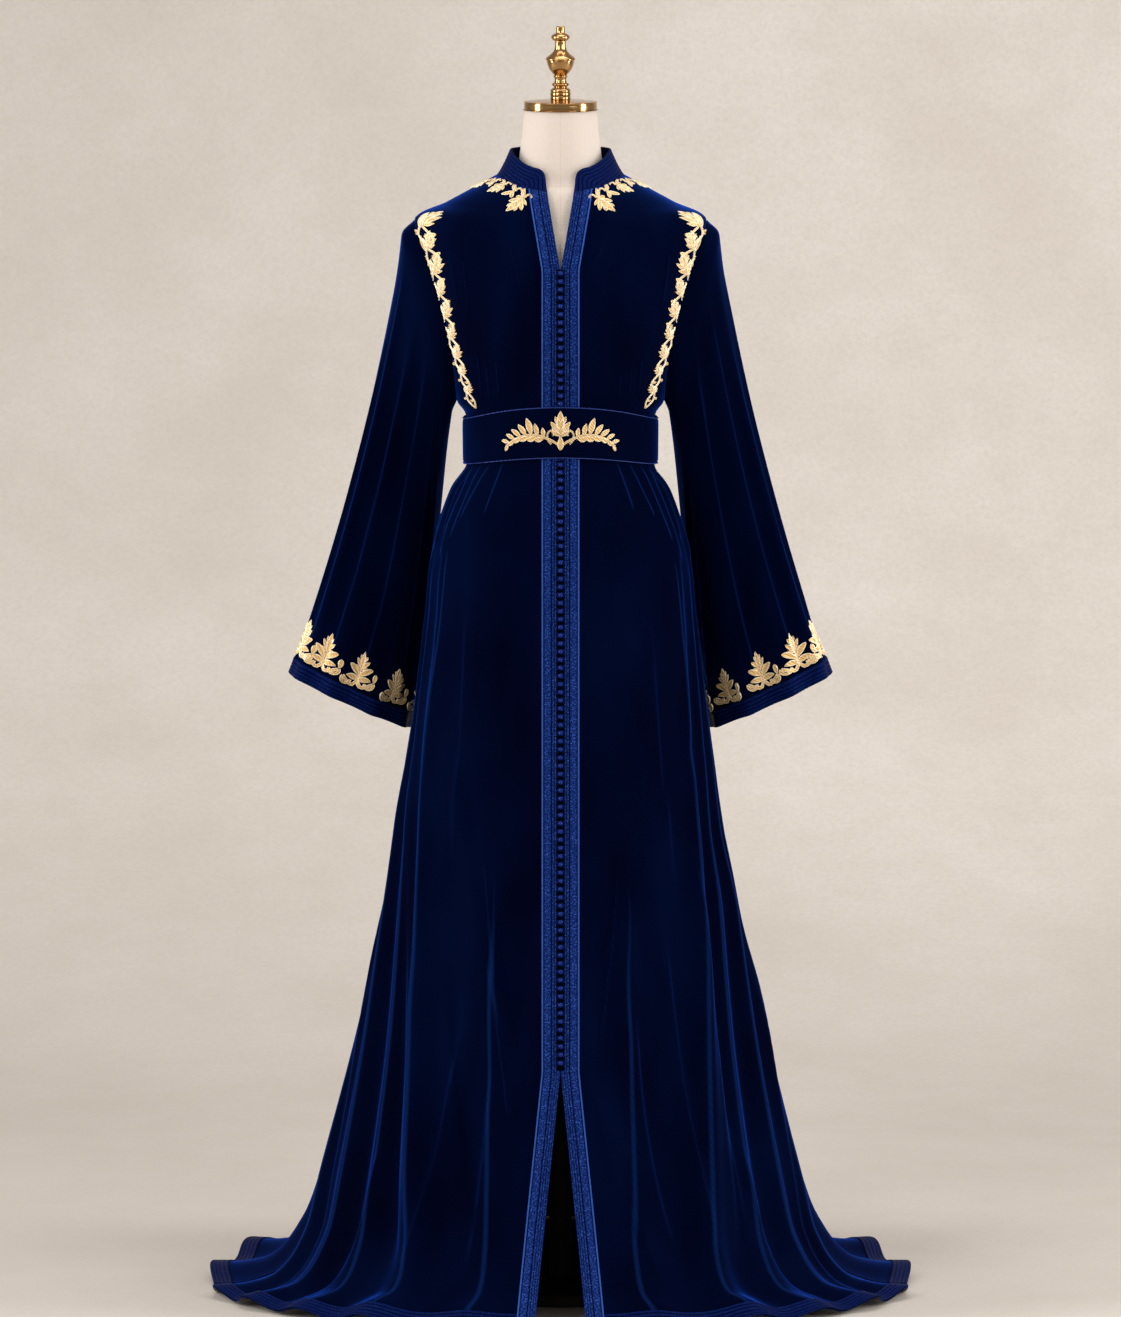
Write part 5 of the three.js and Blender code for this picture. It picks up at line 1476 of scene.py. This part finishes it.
def loop_shape():
    """The two cord loops of a button, one from each side, bent round its foot: two bars of rings."""
    sweep = np.linspace(-0.95 * np.pi, 0.0, LOOP["steps"])
    out_by = LOOP["inner"] + LOOP["bow"] * np.sin(-sweep) ** 0.8
    bars = []
    for side in (-1, 1):
        path = np.stack([side * out_by, LOOP["half_height"] * np.cos(sweep), 0 * sweep + LOOP["rise"]], -1)
        across = np.cross(unit(np.gradient(path, axis=0)), UP)
        bars.append(tube(path, across, UP, LOOP["thick"], LOOP["sides"]))
    return np.stack(bars)


def copies(shape, at, up, out):
    """A shape's points at many places: its x stays across, its y goes up the cloth and its z out of it."""
    x, y, z = (shape[None, :, k : k + 1] for k in range(3))
    return at[:, None] + x * ACROSS + y * up[:, None] + z * out[:, None]


def button_strip(top, foot, rows, under):
    """The strip behind a run of buttons, as points of its face and its back, and its quads."""
    t = np.linspace(float(row_at(top, 1.0)), float(row_at(foot, 1.0)), rows)[:, None]
    half, thick = STRIP.T
    angle = np.sign(half) * angle_at(np.abs(half)[None, :], t)
    grid = trunk(angle, np.broadcast_to(t, angle.shape))
    normal = normals_of(grid)
    face = grid + normal * (under + thick[None, :, None])
    back = grid + normal * (under - STRIP_SUNK)
    points = np.concatenate([face.reshape(-1, 3), back.reshape(-1, 3)])
    return points, np.concatenate(shell_faces(*grid.shape[:2], False))


class KAFTAN_OT_buttons(bpy.types.Operator):
    """Knotted ball buttons down the centre front, each held in its cord loops"""

    bl_idname = "kaftan.buttons"
    bl_label = "Buttons"

    def execute(self, context):
        pitch, radius = sizes().button_pitch / MM, sizes().button_radius / MM
        under = sizes().braid_thick / MM + 2 * sizes().seam_gap / MM
        ball, ball_quads, ball_tips = ball_shape(radius)
        loops = loop_shape()
        for name, top, foot in BUTTON_RUNS:
            t = row_at(np.arange(top - pitch / 2, foot + radius, -pitch), 1.0)
            middle = np.zeros_like(t)
            seat = trunk(middle, t)
            down = unit(trunk(middle, t + 1e-2) - trunk(middle, t - 1e-2))
            out = np.cross(down, np.broadcast_to(ACROSS, down.shape))
            balls = copies(ball, seat + out * (under + BALL["foot"] + radius * 0.75), -down, out)
            bars = copies(loops.reshape(-1, 3), seat + out * under, -down, out)
            strip, strip_quads = button_strip(top, foot, 2 * len(seat), under)
            parts = [balls.reshape(-1, 3), bars.reshape(-1, 3), strip]
            first_bar, first_strip = len(parts[0]), len(parts[0]) + len(parts[1])
            shift = (np.arange(len(seat)) * len(ball))[:, None, None]
            bar_quads, bar_ends = bar_faces((2 * len(seat), *loops.shape[1:3]), first_bar)
            every_quad = [(ball_quads + shift).reshape(-1, 4), bar_quads, strip_quads + first_strip]
            faces = [np.concatenate(every_quad), (ball_tips + shift).reshape(-1, 3), bar_ends]
            # how much of the cord's blue each point shows: balls all, loops some, the strip behind none; the
            # rest is painted shade under and behind the balls
            blue = np.repeat([1.0, 0.35, 0.0], [len(part) for part in parts])
            points = np.concatenate(parts)
            put(f"cloth_{name}", points, faces, [name], [knotted_cord()], line=blue)
        return {"FINISHED"}


# ------------------------------------------------------------------ gold applique


def on_front(x, z):
    """The place on the left front at a distance x from the centre front and a height z. The centre is lifted
    by the square of the angle's cosine, so angle and row are found in turns."""
    share = 1.0
    for _ in range(6):
        t = float(row_at(z, share))
        phi = float(angle_at(np.array(float(x)), t))
        share = math.cos(phi) ** 2
    return phi, float(np.interp(t, FINE_ROWS, ROWS_BY_LENGTH))


def across_as_seen(phi, down):
    """How much longer a level line on the cloth is than it looks from the front, held under 1.5."""
    step = trunk_by_length(np.array(phi + 1e-3), down) - trunk_by_length(np.array(phi - 1e-3), down)
    return min(1.5, float(np.linalg.norm(step) / abs(step[0])))


def vine_blades():
    """The left armhole's vine: two strands that cross down the seam, and at each knot a lobed leaf up and
    inwards, with leaves, a petal and a curl around it, all smaller towards the waist."""
    blades = []
    runs = along(VINE, np.linspace(0, len(VINE) - 1, VINE_KNOTS)).T
    for k, (x, z, width) in enumerate(runs[:-1]):
        dx, dz = runs[k + 1][:2] - (x, z)
        here = on_front(x, z)
        wider = across_as_seen(*here)
        sway = 0.24 * width
        size = width * (1.0 if k % 2 == 0 else 0.8)
        parts = [
            (route((0, 0), (dx / 2 + sway, dz / 2), (dx, dz)), "stem", 1.8 + 0.05 * width),
            (route((0, 0), (dx / 2 - sway, dz / 2), (dx, dz)), "stem", 1.6 + 0.04 * width),
            (arc(0.05 * width, -3, -24, 0.6 * width, 40), "leaf", 0.24 * width),
            (arc(0.1 * width, -10, -112, 0.3 * width, 50), "petal", 0.18 * width),
            (arc(-0.1 * width, -12, 108, 0.34 * width, -50), "petal", 0.18 * width),
            *lobed_leaf(-0.06 * width, -1, 14 + 6 * (k % 3), 0.8 * size),
        ]
        if width > 20:
            parts.append((arc(-2, -15, 90, 0.55 * width, 270, 1.2), "scroll", 2.6))
        blades += [(*here, path * (wider, 1), kind, size_across) for path, kind, size_across in parts]
    top = on_front(*runs[0][:2])
    blades += [(*top, *part) for part in lobed_leaf(3, 2, -6, 0.5 * runs[0][2])]
    return blades


def belt_blades():
    """The belt's ornament: a lobed centre leaf over a pointed foot and two scrolls, and to each side a bowed
    stem with leaves above and below that gets smaller outwards."""
    centre = (0.0, 38.0)
    blades = [(*centre, *part) for part in lobed_leaf(0, 0, 0, 33)]
    blades.append((*centre, arc(0, 0, 180, 18), "petal", 9))
    spray = [
        (arc(1, 0, -58, 17, 60), "petal", 6),
        (route((12, -10), (17, -3), (16, 5), (11, 8), (7.5, 4), (10, 1)), "scroll", 2.8),
        (route((1, -12), (16, -3), (36, 3), (58, 0), (76, -9)), "stem", 3.4),
    ]
    # leaves of the spray: foot across and up, turn, length, width, bend
    for x, y, turn, length, width, bend in (
        (22, -1, 2, 13, 6, -14),
        (30, 1, -4, 17, 7, -12),
        (38, 3, -8, 23, 9, -10),
        (45, 3, -30, 18, 7.5, -8),
        (53, 2, -46, 16, 7, -8),
        (62, -1, -52, 14, 6, -8),
        (70, -5, -66, 13, 5.5, -8),
        (22, -2, -118, 12, 7, 50),
        (31, 1, -128, 14, 7.5, 44),
        (41, 2, -126, 15, 7.5, 40),
        (52, 1, -128, 14, 7, 34),
        (62, -2, -130, 12, 6, 20),
        (72, -6, -150, 11, 5, 0),
    ):
        spray.append((arc(x, y, turn, length, bend), "leaf" if turn > -100 else "petal", width))
    right = [(*centre, *part) for part in spray]
    return blades + right + mirror(right)


def neck_blades():
    """The ornament on the left of the collar: a stem below the neck seam, with lobed leaves that hang from it
    and curls above, out to a long pointed leaf on the shoulder."""
    run = [(47, 1433), (59, 1441), (72, 1448), (85, 1451), (98, 1449), (110, 1444)]
    blades = []
    for k, (x, z) in enumerate(run):
        size = 1 - 0.08 * k
        parts = [
            (arc(-1, 2, -30 - 8 * k, 15 * size, 200, 1.2), "scroll", 2.8),
            (arc(1, 1, -84 - 4 * k, 13 * size, 60), "petal", 5 * size),
        ]
        if k + 1 < len(run):
            dx, dz = run[k + 1][0] - x, run[k + 1][1] - z
            parts.append((route((0, 0), (dx / 2, dz / 2 + 1.5), (dx + 1, dz)), "stem", 3.4))
        if k % 2 == 0:
            parts += lobed_leaf(0, 0, 186 + 6 * k, 27 * size)
        else:
            parts.append((arc(0, 0, 196 + 6 * k, 18 * size, 20), "leaf", 6.5 * size))
            parts.append((arc(0, 0, 160 + 6 * k, 13 * size, -30), "petal", 5.5 * size))
        here = on_front(x, z)
        blades += [(*here, *part) for part in parts]
    tip = on_front(*run[-1])
    blades.append((*tip, arc(0, 0, -104, 17, 6), "leaf", 6.5))
    return blades


def cuff_blades():
    """The border above a cuff: palmettes on a stem, each a lobed leaf over two pairs of open petals, joined
    at their feet by thick waving cords with rings."""
    count, half = 10, 21.5
    foot = float(np.interp(CUFF_TOP, SLEEVE_ROWS, SLEEVE_DOWN)) - BORDER_RISE
    blades = []
    for k in range(count):
        here = ((k + 0.5) / count, foot)
        parts = [(arc(0, 1, 0, 20), "stem", 4), *lobed_leaf(0, 17, 0, 25)]
        for side in (-1, 1):
            parts += [
                (arc(0, 8, 34 * side, 22, 30 * side), "petal", 8),
                (arc(1 * side, 4, 66 * side, 19, 30 * side), "leaf", 8),
                (route((0, 4), (-6 * side, -4), (-14 * side, -1), (-half * side, 5)), "stem", 4.8),
                (arc(-half * side, 5, 150 * side, 22, 210 * side), "scroll", 4.2),
            ]
        parts.append((arc(half, 6, 0, 12), "petal", 6))
        blades += [(*here, *part) for part in parts]
    return blades


def belt_face(phi, down):
    """The belt's outer face by angle and by length down from its upper edge in millimetres."""
    height = BELT["top"] + BELT["top_rise"] - BELT["bottom"] - BELT["bottom_rise"]
    return belt_point(phi, 1 - down / height) + outwards(belt_point(phi, 0.5)) * BELT["thick"]


class KAFTAN_OT_applique(bpy.types.Operator):
    """The gold thread ornaments of the neck, armholes, belt and cuffs"""

    bl_idname = "kaftan.applique"
    bl_label = "Gold applique"

    def execute(self, context):
        lay("cloth_applique_belt", belt_face, belt_blades(), ["applique_belt"])
        for name, sign in SIDES:
            for place, blades in (("armhole", vine_blades()), ("neck", neck_blades())):
                node = f"applique_{place}_{name}"
                lay(f"cloth_{node}", trunk_by_length, blades if sign > 0 else mirror(blades), [node])
            node = f"applique_cuff_{name}"
            lay(f"cloth_{node}", partial(sleeve_by_length, sign=sign), cuff_blades(), [node], facing=sign)
        return {"FINISHED"}


# ------------------------------------------------------------------ dress form and stand


class KAFTAN_OT_form(bpy.types.Operator):
    """The limbless dress form in linen, with its brass neck cap and finial"""

    bl_idname = "kaftan.form"
    bl_label = "Dress form"

    def execute(self, context):
        t = np.linspace(0, len(FORM_SECTIONS) - 1, 103)
        phi = np.linspace(0, 2 * np.pi, 88, endpoint=False)
        z, side, front, back, square = (c[:, None] for c in along(FORM_SECTIONS, t))
        boxy = 1 + square * np.sin(2 * phi) ** 2
        depth = np.where(np.cos(phi) > 0, front, back)
        x, y = side * np.sin(phi) * boxy, -depth * np.cos(phi) * boxy
        rings = np.stack([x, y, np.broadcast_to(z, x.shape)], -1)
        lofts("cloth_form", rings[None], ["form_body"], [linen_cover()])
        turned_piece("brass_neck_cap", NECK_CAP, CAP_BASE, 72, ["form_neck_cap"], [polished_brass()])
        turned_piece("brass_finial", FINIAL, FINIAL_BASE, 48, ["form_finial"], [polished_brass()])
        return {"FINISHED"}


class KAFTAN_OT_stand(bpy.types.Operator):
    """The plate, pole and base, which keep their own solids and get a powder coat"""

    bl_idname = "kaftan.stand"
    bl_label = "Stand"

    def execute(self, context):
        for name in ("form_base_plate", "stand_pole", "stand_base"):
            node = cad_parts[name]
            node.data.materials.clear()
            node.data.materials.append(powder_coat())
        return {"FINISHED"}


def aim(obj, target):
    """Turns an object so that its -Z axis points at a place and its Y axis is as upright as it can be."""
    obj.rotation_euler = (Vector(target) - obj.location).to_track_quat("-Z", "Y").to_euler()


class KAFTAN_OT_stage(bpy.types.Operator):
    """A plain pale floor that curves up into the backdrop, soft studio lights and the camera"""

    bl_idname = "kaftan.stage"
    bl_label = "Stage, lights and camera"

    def execute(self, context):
        # the floor runs back, then turns up through a quarter circle
        turn = np.linspace(0, np.pi / 2, 25)[1:]
        back, radius = STAGE["back"], STAGE["radius"]
        y = np.concatenate([[STAGE["front"], back], back + radius * np.sin(turn), [back + radius]])
        z = np.concatenate([[0.0, 0.0], radius * (1 - np.cos(turn)), [STAGE["top"]]])
        x = np.array([-STAGE["half"], STAGE["half"]])
        points = np.stack(np.broadcast_arrays(x[None, :], y[:, None], z[:, None]), -1).reshape(-1, 3)
        ids = np.arange(len(points)).reshape(len(y), 2)
        faces = quads(ids[:-1, 0], ids[:-1, 1], ids[1:, 1], ids[1:, 0])
        mesh = bpy.data.meshes.new("floor_and_backdrop")
        mesh.from_pydata(points.tolist(), [], faces.tolist())
        mesh.polygons.foreach_set("use_smooth", np.ones(len(faces), bool))
        mesh.materials.append(limewash())
        linked("floor_and_backdrop", mesh)
        for name, place, target, size, power in LIGHTS:
            data = bpy.data.lights.new(name, "AREA")
            data.shape = "RECTANGLE"
            data.size, data.size_y = size
            data.energy = power
            lamp = linked(name, data)
            lamp.location = place
            aim(lamp, target)
        world = bpy.data.worlds.new("studio")
        world.use_nodes = True
        sky = world.node_tree.nodes["Background"]
        sky.inputs[0].default_value = rgba(tone("skylight"))
        sky.inputs[1].default_value = SKYLIGHT
        context.scene.world = world
        context.scene.view_settings.view_transform = "Standard"
        lens = bpy.data.cameras.new("studio_camera")
        lens.sensor_width = SENSOR
        lens.lens = SENSOR * CAMERA["reach"] / CAMERA["framed"]
        lens.clip_end = 60
        camera = linked("studio_camera", lens)
        camera.location = (0, -CAMERA["away"], CAMERA["height"])
        aim(camera, (0, 0, CAMERA["target"]))
        context.scene.camera = camera
        return {"FINISHED"}


# ------------------------------------------------------------------ the add-on

PIECES = (
    KAFTAN_OT_form,
    KAFTAN_OT_trunk,
    KAFTAN_OT_sleeves,
    KAFTAN_OT_collar,
    KAFTAN_OT_braid,
    KAFTAN_OT_belt,
    KAFTAN_OT_buttons,
    KAFTAN_OT_applique,
    KAFTAN_OT_stand,
    KAFTAN_OT_stage,
)


class KAFTAN_PT_panel(bpy.types.Panel):
    """Lists the kaftan's pieces, sizes and colours"""

    bl_idname = "KAFTAN_PT_panel"
    bl_label = "Kaftan"
    bl_space_type = "VIEW_3D"
    bl_region_type = "UI"
    bl_category = "Kaftan"

    def draw(self, context):
        for piece in PIECES:
            self.layout.operator(piece.bl_idname)
        for group in (context.scene.kaftan_sizes, context.scene.kaftan_colours):
            box = self.layout.box()
            for name in group.__annotations__:
                box.prop(group, name)


CLASSES = (KaftanSizes, KaftanColours, *PIECES, KAFTAN_PT_panel)


def register():
    for cls in CLASSES:
        bpy.utils.register_class(cls)
    bpy.types.Scene.kaftan_sizes = bpy.props.PointerProperty(type=KaftanSizes)
    bpy.types.Scene.kaftan_colours = bpy.props.PointerProperty(type=KaftanColours)


def unregister():
    del bpy.types.Scene.kaftan_colours
    del bpy.types.Scene.kaftan_sizes
    for cls in reversed(CLASSES):
        bpy.utils.unregister_class(cls)


def main():
    register()
    for piece in PIECES:
        family, action = piece.bl_idname.split(".")
        getattr(getattr(bpy.ops, family), action)()


if __name__ == "__main__":
    main()
